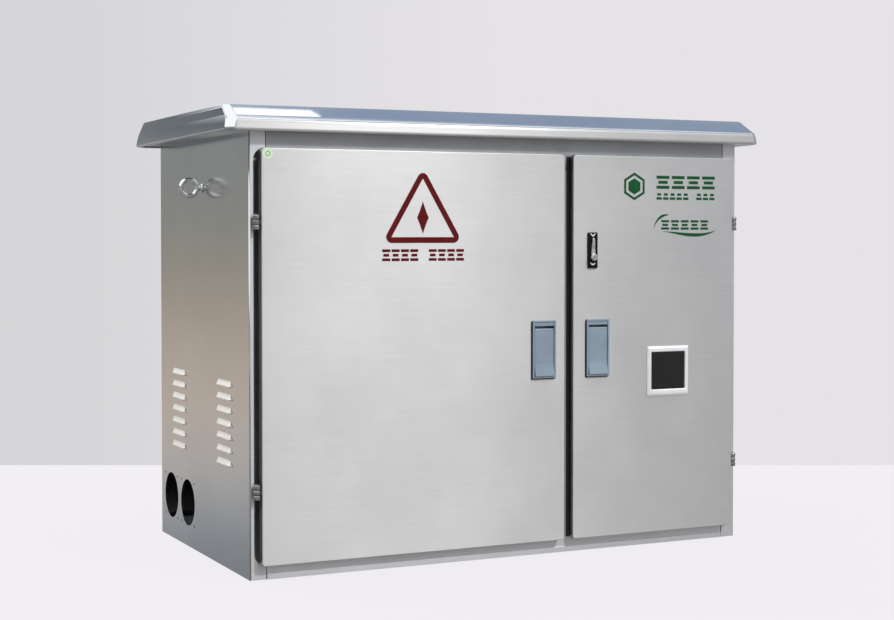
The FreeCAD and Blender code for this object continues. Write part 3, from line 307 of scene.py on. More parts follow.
@dataclass(frozen=True)
class Finish:
    """A surface: its colours, its shader values and the patterns that vary them.

    Every pattern is noise on Object coordinates. Its size is given in millimetres, and stretch makes it
    longer along one axis, as brushing or rolling does.
    """

    name: str
    colour: str
    second: str                     # colour that the broad pattern fades to
    metallic: float
    roughness: float
    spread: float = 0.06            # how far the fine pattern varies the roughness
    broad_mm: float = 180.0         # size of the colour patches
    fine_mm: float = 2.0            # size of the grain
    stretch: tuple[float, float, float] = (1.0, 1.0, 1.0)
    relief: float = 0.1             # strength of the grain's bump
    depth_mm: float = 0.05          # depth of the grain
    wave_mm: float = 0.0            # size of soft waves in the sheet, 0 for none
    wave_depth_mm: float = 0.5
    coat: float = 0.0
    transmission: float = 0.0
    ior: float = 1.5
    specular: float = 0.5
    streak: float = 0.0             # share of the second colour that follows the grain
    anisotropic: float = 0.0        # how far brushing along X draws highlights out upwards

    def build(self) -> bpy.types.Material:
        """Makes the material."""
        material = bpy.data.materials.new(self.name)
        material.use_nodes = True
        tree = material.node_tree
        tree.nodes.clear()
        shader = add(tree, "BsdfPrincipled", {"Metallic": self.metallic, "Coat Weight": self.coat,
                                              "Coat Roughness": 0.08,
                                              "Transmission Weight": self.transmission})
        if not self.metallic:
            shader.inputs["IOR"].default_value = self.ior
            shader.inputs["Specular IOR Level"].default_value = self.specular
        if self.anisotropic:
            shader.inputs["Anisotropic"].default_value = self.anisotropic
            upwards = add(tree, "CombineXYZ", {"Z": 1.0})
            tree.links.new(upwards.outputs[0], shader.inputs["Tangent"])
        place = add(tree, "TexCoord").outputs["Object"]
        broad = add(tree, "TexNoise", {"Vector": place, "Scale": 1000 / self.broad_mm, "Detail": 3.0,
                                       "Roughness": 0.55})
        grain_place = add(tree, "Mapping", {"Vector": place, "Scale": [1 / s for s in self.stretch]})
        grain = add(tree, "TexNoise", {"Vector": grain_place.outputs[0], "Scale": 1000 / self.fine_mm,
                                       "Detail": 4.0, "Roughness": 0.6})
        patch = add(tree, "MapRange", {"Value": broad.outputs["Fac"], "From Min": 0.35, "From Max": 0.65})
        share = patch.outputs[0]
        if self.streak:
            share = add(tree, "Mix", {"Factor": self.streak, "A": share, "B": grain.outputs["Fac"]}).outputs[0]
        tint = add(tree, "Mix", {"Factor": share, 6: linear(self.colour), 7: linear(self.second)},
                   data_type="RGBA")
        tree.links.new(tint.outputs[2], shader.inputs["Base Color"])
        rough = add(tree, "MapRange", {"Value": grain.outputs["Fac"], "From Min": 0.25, "From Max": 0.75,
                                       "To Min": max(self.roughness - self.spread, 0.01),
                                       "To Max": self.roughness + self.spread})
        tree.links.new(rough.outputs[0], shader.inputs["Roughness"])
        bump = add(tree, "Bump", {"Strength": self.relief, "Distance": self.depth_mm * MM,
                                  "Height": grain.outputs["Fac"]})
        if self.wave_mm:
            wave = add(tree, "TexNoise", {"Vector": place, "Scale": 1000 / self.wave_mm, "Detail": 1.0})
            soft = add(tree, "Bump", {"Strength": 1.0, "Distance": self.wave_depth_mm * MM,
                                      "Height": wave.outputs["Fac"]})
            tree.links.new(soft.outputs[0], bump.inputs["Normal"])
        tree.links.new(bump.outputs[0], shader.inputs["Normal"])
        out = add(tree, "OutputMaterial")
        tree.links.new(shader.outputs[0], out.inputs["Surface"])
        return material


@dataclass(frozen=True)
class Spangle:
    """Hot-dip galvanised sheet: zinc crystals some 12 mm across, each with its own grey and gloss."""

    name: str = "hot_dip_galvanised_steel"
    dark: str = "#8E9194"
    light: str = "#B4B7BA"
    crystal_mm: float = 12.0

    def build(self) -> bpy.types.Material:
        """Makes the material from Voronoi cells."""
        material = bpy.data.materials.new(self.name)
        material.use_nodes = True
        tree = material.node_tree
        tree.nodes.clear()
        place = add(tree, "TexCoord").outputs["Object"]
        warp = add(tree, "TexNoise", {"Vector": place, "Scale": 90.0, "Detail": 2.0})
        bent = add(tree, "Mix", {"Factor": 0.06, 4: place, 5: warp.outputs["Color"]}, data_type="VECTOR")
        cells = add(tree, "TexVoronoi", {"Vector": bent.outputs[1], "Scale": 1000 / self.crystal_mm})
        shade = add(tree, "SeparateColor", {"Color": cells.outputs["Color"]})
        tint = add(tree, "Mix", {"Factor": shade.outputs[0], 6: linear(self.dark), 7: linear(self.light)},
                   data_type="RGBA")
        rough = add(tree, "MapRange", {"Value": shade.outputs[1], "To Min": 0.38, "To Max": 0.58})
        shader = add(tree, "BsdfPrincipled", {"Metallic": 1.0, "Base Color": tint.outputs[2],
                                              "Roughness": rough.outputs[0]})
        out = add(tree, "OutputMaterial", {"Surface": shader.outputs[0]})
        out.location.x = 300
        return material


class Stuff(Enum):
    """Every finish on the cabinet, by what it is and how it was made."""

    # satin stainless sheet brushed along X; brushing is drawn 3 mm apart because the real 0.2 mm is too fine
    DOOR_STEEL = Finish("brushed_stainless_door_sheet", "#DADBDC", "#C6C7C9", 1.0, 0.42, 0.03, 220.0, 3.0,
                        (40.0, 1.0, 1.0), 0.05, 0.04, wave_mm=300.0, wave_depth_mm=0.4, streak=0.6,
                        anisotropic=0.95)
    # the same sheet with less brushing, so that it mirrors its surroundings more
    WALL_STEEL = Finish("satin_stainless_wall_sheet", "#CDCECF", "#C4C5C6", 1.0, 0.17, 0.03, 240.0, 3.0,
                        (1.0, 40.0, 1.0), 0.05, 0.03, wave_mm=300.0, wave_depth_mm=0.5, streak=0.3)
    # louvre faces that look upwards: pressing stretches the sheet and leaves it matt; their near-white colour is a
    # painted highlight, the sky's light painted on their tops
    LOUVRE_TOP_PAINTED_SKYLIGHT = Finish("matt_stainless_louvre_painted_sky_light", "#F4F1EC", "#ECE8E2", 1.0, 0.55, 0.04, 60.0, 2.0,
                          relief=0.05, depth_mm=0.03)
    # folded frame sections of the same sheet
    FRAME_STEEL = Finish("folded_stainless_sections", "#D6D7DB", "#CCCED2", 1.0, 0.42, 0.04, 120.0, 2.5,
                         (30.0, 30.0, 1.0), 0.06, 0.03, streak=0.3, anisotropic=0.9)
    # the header's section, coloured darker than the other sections: painted shade from the roof's overhang
    HEADER_PAINTED_SHADE_STEEL = Finish("folded_stainless_header_painted_shade", "#A9ABAF", "#9D9FA4", 1.0, 0.42, 0.04, 120.0, 2.5,
                          (30.0, 1.0, 1.0), 0.06, 0.03, streak=0.3, anisotropic=0.9)
    # turned hinge barrels: bright where they catch the light, dark where they mirror the gap; their base colour is set
    # below bright steel as painted shade for the shaded gap they sit in
    HINGE_STEEL = Finish("bright_turned_hinge_steel", "#A4A5A7", "#8E8F92", 1.0, 0.13, 0.04, 12.0, 1.0,
                         relief=0.06, depth_mm=0.03)
    # bright cold-rolled stainless, nearly a mirror
    ROOF_STEEL = Finish("bright_rolled_stainless_roof", "#CDD0D4", "#C2C6CC", 1.0, 0.06, 0.02, 200.0, 2.0,
                        (30.0, 1.0, 1.0), 0.04, 0.02, wave_mm=350.0, wave_depth_mm=0.35)
    # TIG weld, ground back: rippled and heat-tinted
    WELD = Finish("ground_tig_weld_bead", "#5C6068", "#7C7468", 1.0, 0.34, 0.08, 20.0, 1.6, relief=0.5,
                  depth_mm=0.3)
    # bright zinc plate on turned and stamped steel
    PLATED = Finish("bright_zinc_plated_steel", "#D6D8DA", "#C4C6C8", 1.0, 0.14, 0.05, 30.0, 1.2, relief=0.06,
                    depth_mm=0.03)
    GALVANISED = Spangle()
    # die-cast zinc with blue-grey stove enamel: satin, slight orange peel
    LOCK_ENAMEL = Finish("blue_grey_stove_enamel", "#7C8B98", "#8392A0", 0.0, 0.36, 0.04, 60.0, 1.4,
                         relief=0.12, depth_mm=0.05, coat=0.25)
    BLACK_ENAMEL = Finish("black_gloss_enamel_zinc", "#060709", "#0C0D10", 0.0, 0.25, 0.04, 30.0, 1.2,
                          relief=0.08, depth_mm=0.03, specular=0.2)
    CHROME = Finish("chromed_die_casting", "#DADCDE", "#CDD0D2", 1.0, 0.08, 0.03, 20.0, 1.0, relief=0.04,
                    depth_mm=0.02)
    WINDOW_ALLOY = Finish("bright_anodised_aluminium", "#F0F1F2", "#E6E8EA", 0.4, 0.36, 0.04, 60.0, 1.0,
                          (20.0, 1.0, 1.0), 0.06, 0.02)
    FOAM = Finish("closed_cell_foam_rubber", "#1B1B1C", "#242425", 0.0, 0.85, 0.05, 15.0, 0.9, relief=0.5,
                  depth_mm=0.15, specular=0.3)
    # smoked toughened glass: little of the meter shows through it by day
    SMOKED_GLASS = Finish("smoked_float_glass", "#171D26", "#11161E", 0.0, 0.03, 0.01, 90.0, 8.0, relief=0.02,
                          depth_mm=0.02, transmission=1.0, ior=1.52)
    POLYCARBONATE = Finish("clear_moulded_polycarbonate", "#EDF1F2", "#E4EAEC", 0.0, 0.05, 0.02, 60.0, 4.0,
                           relief=0.03, depth_mm=0.02, transmission=1.0, ior=1.58)
    COPPER = Finish("rolled_copper_bar", "#C98A66", "#A8694A", 1.0, 0.30, 0.08, 45.0, 1.2, (20.0, 1.0, 1.0),
                    0.12, 0.03, streak=0.3)
    RED_POLYESTER = Finish("moulded_red_polyester", "#8E1B14", "#7C1610", 0.0, 0.38, 0.05, 12.0, 0.8,
                           relief=0.15, depth_mm=0.05)
    GREY_THERMOSET = Finish("compression_moulded_grey_thermoset", "#54585C", "#4B4F53", 0.0, 0.48, 0.05, 30.0,
                            0.8, relief=0.2, depth_mm=0.05)
    CERAMIC = Finish("glazed_fuse_ceramic", "#E3DED0", "#D9D3C2", 0.0, 0.22, 0.04, 20.0, 1.5, relief=0.08,
                     depth_mm=0.04)
    BLACK_THERMOSET = Finish("spark_textured_black_thermoset", "#222327", "#1B1C1F", 0.0, 0.50, 0.05, 30.0, 0.7,
                             relief=0.25, depth_mm=0.06)
    RESIN = Finish("cast_brown_resin", "#5A1E18", "#4C1813", 0.0, 0.30, 0.05, 14.0, 1.2, relief=0.12,
                   depth_mm=0.05)
    DRAWN_ALUMINIUM = Finish("deep_drawn_aluminium_can", "#C9CACC", "#BBBDC0", 1.0, 0.30, 0.05, 40.0, 1.5,
                             (1.0, 1.0, 30.0), 0.10, 0.03, streak=0.4)
    WHITE_MOULDING = Finish("moulded_white_abs", "#DCDCD8", "#D4D4CF", 0.0, 0.38, 0.04, 60.0, 0.6,
                            relief=0.15, depth_mm=0.03)
    DISPLAY = Finish("liquid_crystal_panel", "#8C9C7C", "#86967A", 0.0, 0.12, 0.02, 30.0, 0.5, relief=0.02,
                     depth_mm=0.01)
    BEIGE_MOULDING = Finish("moulded_beige_polyamide", "#B8AE94", "#AFA58B", 0.0, 0.45, 0.05, 30.0, 0.7,
                            relief=0.2, depth_mm=0.04)
    # screen-printed ink, a little uneven where the brushed sheet shows through
    RED_INK = Finish("dark_red_screen_ink", "#5C0507", "#540305", 0.0, 0.5, 0.06, 20.0, 0.8, relief=0.1,
                     depth_mm=0.02, specular=0.2)
    GREEN_INK = Finish("green_screen_ink", "#085029", "#094724", 0.0, 0.5, 0.06, 20.0, 0.8, relief=0.1,
                       depth_mm=0.02, specular=0.2)
    PALE_STICKER = Finish("pale_green_paper_sticker", "#CFE6C6", "#C4DEBA", 0.0, 0.6, 0.05, 6.0, 0.5,
                          relief=0.1, depth_mm=0.02)
    WHITE_LABEL = Finish("matt_white_vinyl_label", "#E2E2DE", "#DADAD5", 0.0, 0.55, 0.05, 15.0, 0.5,
                         relief=0.08, depth_mm=0.01)


# ------------------------------------------------------------------ workshop
class Workshop:
    """Turns shapes into objects, gives them their finish and tells the frame what they ride on."""

    def __init__(self, frame: dict[str, Any]) -> None:
        """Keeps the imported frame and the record's slots."""
        self.nodes = frame["nodes"]
        self.slots = {part["node"]: part["material_slot"] for part in frame["record"]["subparts"]}
        self.materials: dict[Stuff, bpy.types.Material] = {}

    def material(self, stuff: Stuff) -> bpy.types.Material:
        """The one material of a finish, made on first use."""
        if stuff not in self.materials:
            self.materials[stuff] = stuff.value.build()
        return self.materials[stuff]

    def _place(self, name: str, mesh: bpy.types.Mesh, stuff: Stuff, near: str, replaces: Sequence[str],
               bevel: float) -> bpy.types.Object:
        """Links the object, rides it on the body of a node, and rounds its edges."""
        piece = bpy.data.objects.new(name, mesh)
        bpy.context.scene.collection.objects.link(piece)
        mesh.materials.clear()
        mesh.materials.append(self.material(stuff))
        mesh.polygons.foreach_set("use_smooth", np.ones(len(mesh.polygons), bool))
        if bevel:
            rounding = piece.modifiers.new("rounding", "BEVEL")
            rounding.width, rounding.segments = bevel, 2
            rounding.limit_method, rounding.angle_limit = "ANGLE", math.radians(35)
            piece.modifiers.new("shading", "WEIGHTED_NORMAL")
        else:
            mesh.set_sharp_from_angle(angle=math.radians(40))
        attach(piece, self.nodes[near]["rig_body"])
        if replaces:
            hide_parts(*replaces)
        LOG.info("%s: %d faces", name, len(mesh.polygons))
        return piece

    def piece(self, name: str, shape: Shape, stuff: Stuff, near: str, replaces: Sequence[str] = (),
              bevel: float = 0.0) -> bpy.types.Object:
        """Makes a piece from a shape.

        Args:
            name: name of the piece.
            shape: its closed surface.
            stuff: its finish.
            near: CAD node whose body it rides on.
            replaces: CAD nodes that it stands for.
            bevel: width of the rounding on its sharp edges, 0 for none.

        Returns:
            The object.
        """
        mesh = bpy.data.meshes.new(name)
        mesh.from_pydata(shape.points.tolist(), [], shape.faces)
        work = bmesh.new()
        work.from_mesh(mesh)
        bmesh.ops.remove_doubles(work, verts=work.verts, dist=2e-6)
        bmesh.ops.recalc_face_normals(work, faces=work.faces)
        work.to_mesh(mesh)
        work.free()
        return self._place(name, mesh, stuff, near, replaces, bevel)

    def softened(self, node: str, stuff: Stuff, bevel: float = 0.8 * MM) -> bpy.types.Object:
        """Copy of a CAD node with its doubles merged, its flat faces joined and its edges rounded."""
        mesh = self.nodes[node].data.copy()
        mesh.name = "soft_" + node
        work = bmesh.new()
        work.from_mesh(mesh)
        bmesh.ops.remove_doubles(work, verts=work.verts, dist=1e-6)
        bmesh.ops.dissolve_limit(work, angle_limit=math.radians(0.5), verts=work.verts, edges=work.edges)
        work.to_mesh(mesh)
        work.free()
        return self._place("soft_" + node, mesh, stuff, node, [node], bevel)

    def front_finish(self, piece: bpy.types.Object, stuff: Stuff) -> None:
        """Gives the faces that look to the front a second finish: those whose normal's y is under -0.8."""
        mesh = piece.data
        mesh.materials.append(self.material(stuff))
        normals = np.empty(len(mesh.polygons) * 3)
        mesh.polygons.foreach_get("normal", normals)
        mesh.polygons.foreach_set("material_index", (normals[1::3] < -0.8).astype(np.int32))


# ------------------------------------------------------------------ shell
@dataclass
class Roof:
    """Folded roof pan with rounded bends, its soffit and the welds at its corners."""

    shop: Workshop
    sheet: float = 2 * MM
    lip: float = 27 * MM
    rise: float = 34.5 * MM
    slope_front: float = 60 * MM
    slope_rear: float = 35 * MM
    lean: float = 13 * MM
    lip_lean: float = 1.8 * MM
    fall: float = 5 * MM             # the rear is lower
    chamfer: tuple[float, float] = (19 * MM, 14 * MM)     # at the eave and at the top
    bend: float = 8 * MM
    hem: float = 6 * MM
    base: float = field(init=False)
    half: float = field(init=False)
    front: float = field(init=False)
    rear: float = field(init=False)

    def __post_init__(self) -> None:
        """Reads the roof's place from the CAD."""
        low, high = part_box("roof_pan")
        self.half, self.front, self.rear = high[0], low[1], high[1]
        self.base = high[2] - self.lip - self.rise

    def ring(self, height: float, slope: float, inset: float = 0.0, corner: float = 3 * MM) -> Array:
        """Outline at a height: a rectangle with cut corners, each bend a quadratic curve between its sides.

        Args:
            height: above the roof's lower edge.
            slope: share of the slope passed, from 0 at the eave to 1 at the top.
            inset: distance inside the outer skin.
            corner: length of the curve on each side of a bend.

        Returns:
            points x 3.
        """
        half = self.half - inset - self.lean * height / (self.lip + self.rise)
        y0 = self.front + inset + self.slope_front * slope + self.lip_lean * min(height / self.lip, 1)
        y1 = self.rear - inset - self.slope_rear * slope
        cut = self.chamfer[0] + (self.chamfer[1] - self.chamfer[0]) * slope
        flat = np.array([(-half, y0 + cut), (-half + cut, y0), (half - cut, y0), (half, y0 + cut),
                         (half, y1 - cut), (half - cut, y1), (-half + cut, y1), (-half, y1 - cut)])
        before, after = np.roll(flat, 1, 0) - flat, np.roll(flat, -1, 0) - flat
        before /= np.linalg.norm(before, axis=1)[:, None]
        after /= np.linalg.norm(after, axis=1)[:, None]
        t = np.linspace(0, 1, 5)[None, :, None]
        start, end = flat + before * corner, flat + after * corner
        arc = (1 - t) ** 2 * start[:, None] + 2 * t * (1 - t) * flat[:, None] + t ** 2 * end[:, None]
        arc = arc.reshape(-1, 2)
        drop = self.fall * (arc[:, 1] - self.front) / (self.rear - self.front)
        return np.column_stack([arc, self.base + height - drop])

    def stations(self) -> list[tuple[float, float]]:
        """(height, slope) up the outside, with a quadratic curve over the eave and over the top edge."""
        part = self.bend / self.rise
        t = np.linspace(0, 1, 6)
        over_eave = [(self.lip - self.bend * (1 - s) ** 2 + self.bend * s ** 2, part * s ** 2) for s in t]
        top = self.lip + self.rise
        over_top = [(top - self.bend * (1 - s) ** 2, 1 - part * (1 - s) ** 2 + 0.06 * s ** 2) for s in t]
        return over_eave + over_top

    def build(self) -> None:
        """Builds the roof."""
        roll = [self.ring(self.hem * (1 - math.cos(a)), 0.0, self.hem * (1 - math.sin(a)))
                for a in np.linspace(0, math.pi / 2, 7)]
        outside = roll + [self.ring(height, slope) for height, slope in self.stations()]
        inner_top = self.lip + self.rise - self.sheet
        inside = [self.ring(1.2 * MM, 0.0, self.hem + 0.8 * MM), self.ring(2 * self.hem, 0.0, self.sheet),
                  self.ring(self.lip - self.sheet / 2, 0.0, self.sheet), self.ring(inner_top, 1.0, self.sheet)]
        rings = np.array(inside[::-1] + outside)
        sheet = self.shop.piece("roof_sheet", lofted(rings), Stuff.ROOF_STEEL, "roof_pan", ["roof_pan"])
        self.shop.front_finish(sheet, Stuff.DOOR_STEEL)
        areas = np.empty(len(sheet.data.polygons))
        sheet.data.polygons.foreach_get("area", areas)
        sheet.data.polygons.foreach_set("use_smooth", areas < 0.01)
        self.shop.softened("roof_soffit", Stuff.FRAME_STEEL)
        self.shop.piece("roof_corner_welds", self.welds(), Stuff.WELD, "roof_pan")

    def welds(self) -> Shape:
        """Ground weld along each hip, from the eave's corner to the top's: a thin half-sunk bead."""
        shapes = []
        for side in (-1, 1):
            for front in (True, False):
                eave = self.ring(self.lip + 0.8 * MM, 0.02, 1.0 * MM)
                top = self.ring(self.lip + self.rise - 1.2 * MM, 0.97, 1.0 * MM)
                index = {(-1, True): 2, (1, True): 17, (1, False): 22, (-1, False): 37}[side, front]
                a, b = eave[index], top[index]
                along = (b - a) / np.linalg.norm(b - a)
                across = np.cross(along, (0, 0, 1))
                across /= np.linalg.norm(across)
                path = a + (b - a) * np.linspace(0, 1, 14)[:, None]
                ripple = 1.1 * MM + 0.15 * MM * np.cos(np.arange(14) * 2.4)
                up = np.cross(across, along)
                angle = np.linspace(0, 2 * math.pi, 10, endpoint=False)
                spokes = np.cos(angle)[:, None] * across + np.sin(angle)[:, None] * up
                shapes.append(lofted(path[:, None] + ripple[:, None, None] * spokes[None]))
        return together(shapes)


@dataclass
class SidePanel:
    """Folded side wall: corner post with the door gutter's opening, louvred wall and rear flange."""

    shop: Workshop
    side: int                        # -1 left, 1 right
    entries: bool
    sheet: float = 2 * MM
    bend: float = 3 * MM
    post: float = 38 * MM
    post_lip: float = 10 * MM
    gutter_round: float = 25 * MM
    flange: float = 25 * MM
    gutter_z: tuple[float, float] = (33 * MM, 963 * MM)
    louvre_rows: int = 7
    louvre_pitch: float = 30.4 * MM
    louvre_top: float = 427.5 * MM
    louvre_y: tuple[float, float] = (185 * MM, -173 * MM)
    louvre_size: tuple[float, float, float] = (102 * MM, 14 * MM, 7 * MM)
    entry_r: float = 57 * MM
    entry_z: float = 108 * MM
    entry_y: tuple[float, float] = (257.5 * MM, 119 * MM)
    screw_square: float = 52 * MM
    screw_r: float = 3.25 * MM
    eye: tuple[float, float] = (-10 * MM, 882 * MM)
    eye_r: float = 6.5 * MM

    @property
    def node(self) -> str:
        """The CAD node it stands for."""
        return "left_side_panel" if self.side < 0 else "right_side_panel"

    def louvre(self, y: float, z: float) -> tuple[Shape, Array]:
        """Pressed louvre and the edge of the opening it closes.

        The skin stands out by out * E(u) * S(v): E rises over the two ends as a smooth step, and S grows
        from the top edge down to the free lip, with a soft start.

        Args:
            y: middle of the louvre.
            z: middle of the louvre.

        Returns:
            The skin, and the opening's edge as (y, z) points.
        """
        length, height, out = self.louvre_size
        x = -self.half
        end = 9 * MM
        u = np.concatenate([np.linspace(0, end, 7), np.linspace(end, length - end, 8)[1:-1],
                            np.linspace(length - end, length, 7)])
        v = np.linspace(0, 1, 9)
        near = np.minimum(u, length - u)
        step = np.clip(near / end, 0, 1)
        rise = np.sqrt(1 - (1 - step) ** 2)
        grow = v ** 1.25 * (1 - 0.12 * v ** 6)
        stand = out * rise[None, :] * grow[:, None]
        down = height * (0.5 - v)[:, None]
        points = np.stack(np.broadcast_arrays(x - stand, (y - length / 2 + u)[None, :], z + down), -1)
        skin = lattice(points)
        edge = np.concatenate([points[0, :, 1:], points[1:, -1, 1:], points[::-1][:-1, 0, 1:]])
        return skin, edge

    def build(self) -> None:
        """Builds the panel as the left one and mirrors it for the right."""
        low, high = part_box("left_side_panel")
        self.half = -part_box("door_jambs")[0][0] + self.sheet
        front, rear, top = low[1], high[1] - self.sheet - 0.05 * MM, high[2]     # the rear wall laps over it
        x, bend = -self.half, self.bend
        skins, holes = [], []
        for y in self.louvre_y:
            for row in range(self.louvre_rows):
                skin, edge = self.louvre(y, self.louvre_top - row * self.louvre_pitch)
                skins.append(skin)
                holes.append(edge)
        rounds = [(self.eye[0], self.eye[1], self.eye_r, 24)]
        if self.entries:
            for y in self.entry_y:
                rounds.append((y, self.entry_z, self.entry_r, 96))
                rounds += [(y + dy * self.screw_square, self.entry_z + dz * self.screw_square, self.screw_r, 16)
                           for dy in (-1, 1) for dz in (-1, 1)]
        for y, z, radius, steps in rounds:
            angle = np.linspace(0, 2 * math.pi, steps, endpoint=False)
            holes.append(np.stack([y + radius * np.cos(angle), z + radius * np.sin(angle)], 1))
        wall = self.sheet_with_holes(
            np.array([(front + bend, 0), (rear - bend, 0), (rear - bend, top), (front + bend, top)]), holes,
            lambda y, z: np.stack([np.full(len(y), x), y, z], 1))
        quarter = np.linspace(0, math.pi / 2, 9)[:, None]
        middle, low_z, high_z = x + self.post_lip + self.gutter_round, *self.gutter_z
        foot = np.hstack([middle - self.gutter_round * np.sin(quarter),
                          low_z + self.gutter_round * (1 - np.cos(quarter))])
        head = np.hstack([foot[::-1, :1], low_z + high_z - foot[::-1, 1:]])
        edge = x + self.post
        post_outline = np.concatenate([[(x + bend, top), (x + bend, 0), (edge, 0), (edge, low_z)], foot, head,
                                       [(edge, high_z), (edge, top)]])
        post = self.sheet_with_holes(post_outline, [],
                                     lambda a, b: np.stack([a, np.full(len(a), front), b], 1))
        angle = np.linspace(0, math.pi / 2, 6)
        heights = np.array([0.0, top])
        front_bend = np.stack(np.broadcast_arrays(
            (x + bend - bend * np.sin(angle))[:, None], (front + bend - bend * np.cos(angle))[:, None],
            heights[None, :]), -1)
        rear_bend = front_bend.copy()
        rear_bend[..., 1] = rear - bend + bend * np.cos(angle)[:, None]
        flange = np.stack(np.broadcast_arrays(np.array([x + bend, x + self.flange])[:, None], rear,
                                              heights[None, :]), -1)
        shape = together([wall, post, lattice(front_bend), lattice(rear_bend), lattice(flange)] + skins)
        if self.side > 0:
            shape = shape.mirrored()
        name = ("left" if self.side < 0 else "right") + "_wall_sheet"
        piece = self.shop.piece(name, shape, Stuff.WALL_STEEL, self.node, [self.node])
        self.face_outwards(piece)
        self.shop.front_finish(piece, Stuff.FRAME_STEEL)
        wall_thickness = piece.modifiers.new("thickness", "SOLIDIFY")
        wall_thickness.thickness, wall_thickness.offset = self.sheet, -1.0
        normals = np.empty(len(piece.data.polygons) * 3)
        piece.data.polygons.foreach_get("normal", normals)
        level = np.abs(normals.reshape(-1, 3)).max(axis=1) > 0.99999
        piece.data.polygons.foreach_set("use_smooth", ~level)
        # faces that look upwards (normal z over 0.25), the louvres' tops, take the near-white finish: painted sky light
        piece.data.materials.append(self.shop.material(Stuff.LOUVRE_TOP_PAINTED_SKYLIGHT))
        slots = np.empty(len(level), np.int32)
        piece.data.polygons.foreach_get("material_index", slots)
        piece.data.polygons.foreach_set("material_index", np.where(normals[2::3] > 0.25, 2, slots).astype(np.int32))

    def face_outwards(self, piece: bpy.types.Object) -> None:
        """Turns the whole sheet round if its largest face looks inwards."""
        mesh = piece.data
        largest = max(mesh.polygons, key=lambda polygon: polygon.area)
        if largest.normal.x * self.side < 0:
            mesh.flip_normals()

    @staticmethod
    def sheet_with_holes(outline: Array, holes: Sequence[Array], place: Any) -> Shape:
        """Flat sheet cut from an outline with holes, in triangles.

        Args:
            outline: its edge as points x 2.
            holes: edges of the holes, as points x 2 each.
            place: function from two coordinates to points x 3.

        Returns:
            The sheet.
        """
        loops = [outline] + list(holes)
        flat = np.concatenate(loops)
        triangles = tessellate_polygon([[Vector((a, b, 0)) for a, b in loop] for loop in loops])
        return Shape(place(flat[:, 0], flat[:, 1]), [list(triangle) for triangle in triangles])


@dataclass
class Shell:
    """Frame, rear wall, base and floor."""

    shop: Workshop

    def build(self) -> None:
        """Softens the folded and welded parts of the frame."""
        # the header's darker colour is painted shade from the roof's overhang
        self.shop.softened("header_rail", Stuff.HEADER_PAINTED_SHADE_STEEL, 0.7 * MM)
        for node in ("sill_rail", "centre_mullion", "door_jambs"):
            self.shop.softened(node, Stuff.FRAME_STEEL, 0.7 * MM)
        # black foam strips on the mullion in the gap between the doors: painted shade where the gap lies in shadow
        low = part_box("centre_mullion")[0]
        door_low, door_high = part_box("left_door_skin")
        front, z0, z1 = door_high[1] + 0.6 * MM, door_low[2] + 4 * MM, door_high[2] - 4 * MM
        gap_shade_strips = [block(low[0] + start * MM, low[0] + end * MM, front, low[1], z0, z1)
                  for start, end in ((17.2, 27.0), (32.5, 39.0))]
        self.shop.piece("gap_painted_shade_strips", together(gap_shade_strips), Stuff.FOAM, "centre_mullion", bevel=0.5 * MM)
        self.shop.softened("rear_panel", Stuff.WALL_STEEL, 0.7 * MM)
        for node in ("base_frame", "floor_plate", "mounting_plate", "partition_wall", "meter_board",
                     "plate_standoffs"):
            self.shop.softened(node, Stuff.GALVANISED, 0.7 * MM)
        self.shop.softened("panel_bolts", Stuff.PLATED, 0.6 * MM)


@dataclass
class LiftingEyes:
    """Forged eye bolts on both sides with their collars, shanks and nuts."""

    shop: Workshop
    ring_r: float = 19.5 * MM
    wire_r: float = 5.5 * MM
    collar_r: float = 11 * MM
    collar_t: float = 8.5 * MM
    shank_r: float = 6 * MM
    y: float = -10 * MM
    z: float = 882 * MM

    def build(self) -> None:
        """Builds the left eye and mirrors it."""
        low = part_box("eye_bolts")[0]
        wall = -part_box("door_jambs")[0][0] + 2 * MM
        centre = low[0] + self.ring_r + self.wire_r
        angle = np.linspace(0, 2 * math.pi, 64, endpoint=False)
        path = np.stack([centre + self.ring_r * np.cos(angle), np.full(64, self.y),
                         self.z + self.ring_r * np.sin(angle)], 1)
        ring = carried(circle(self.wire_r, 20), path, (0, 1, 0), closed=True)
        neck = self.collar_t + 3.2 * MM
        collar = turned([(0, 0), (self.collar_r - 0.8 * MM, 0), (self.collar_r, 0.8 * MM), (self.collar_r, 2.6 * MM),
                         (self.collar_r - 0.7 * MM, 3.4 * MM), (8.2 * MM, 4.2 * MM), (6.8 * MM, 5.6 * MM),
                         (6.4 * MM, 7.4 * MM), (7.2 * MM, 9.4 * MM), (8.0 * MM, neck), (0, neck)],
                        (-wall, self.y, self.z), Axis.LEFT, 40)
        shank = turned(rounded_rod(self.shank_r, 16 * MM, 1.0 * MM), (-wall, self.y, self.z), Axis.X, 32)
        nut = turned([(0, 2 * MM), (10 * MM, 2 * MM), (10.97 * MM, 3 * MM), (10.97 * MM, 11 * MM),
                      (10 * MM, 12 * MM), (0, 12 * MM)], (-wall, self.y, self.z), Axis.X, 6)
        eye = together([ring, collar, shank, nut])
        self.shop.piece("lifting_eyes", eye + eye.mirrored(), Stuff.CHROME, "eye_bolts", ["eye_bolts"])


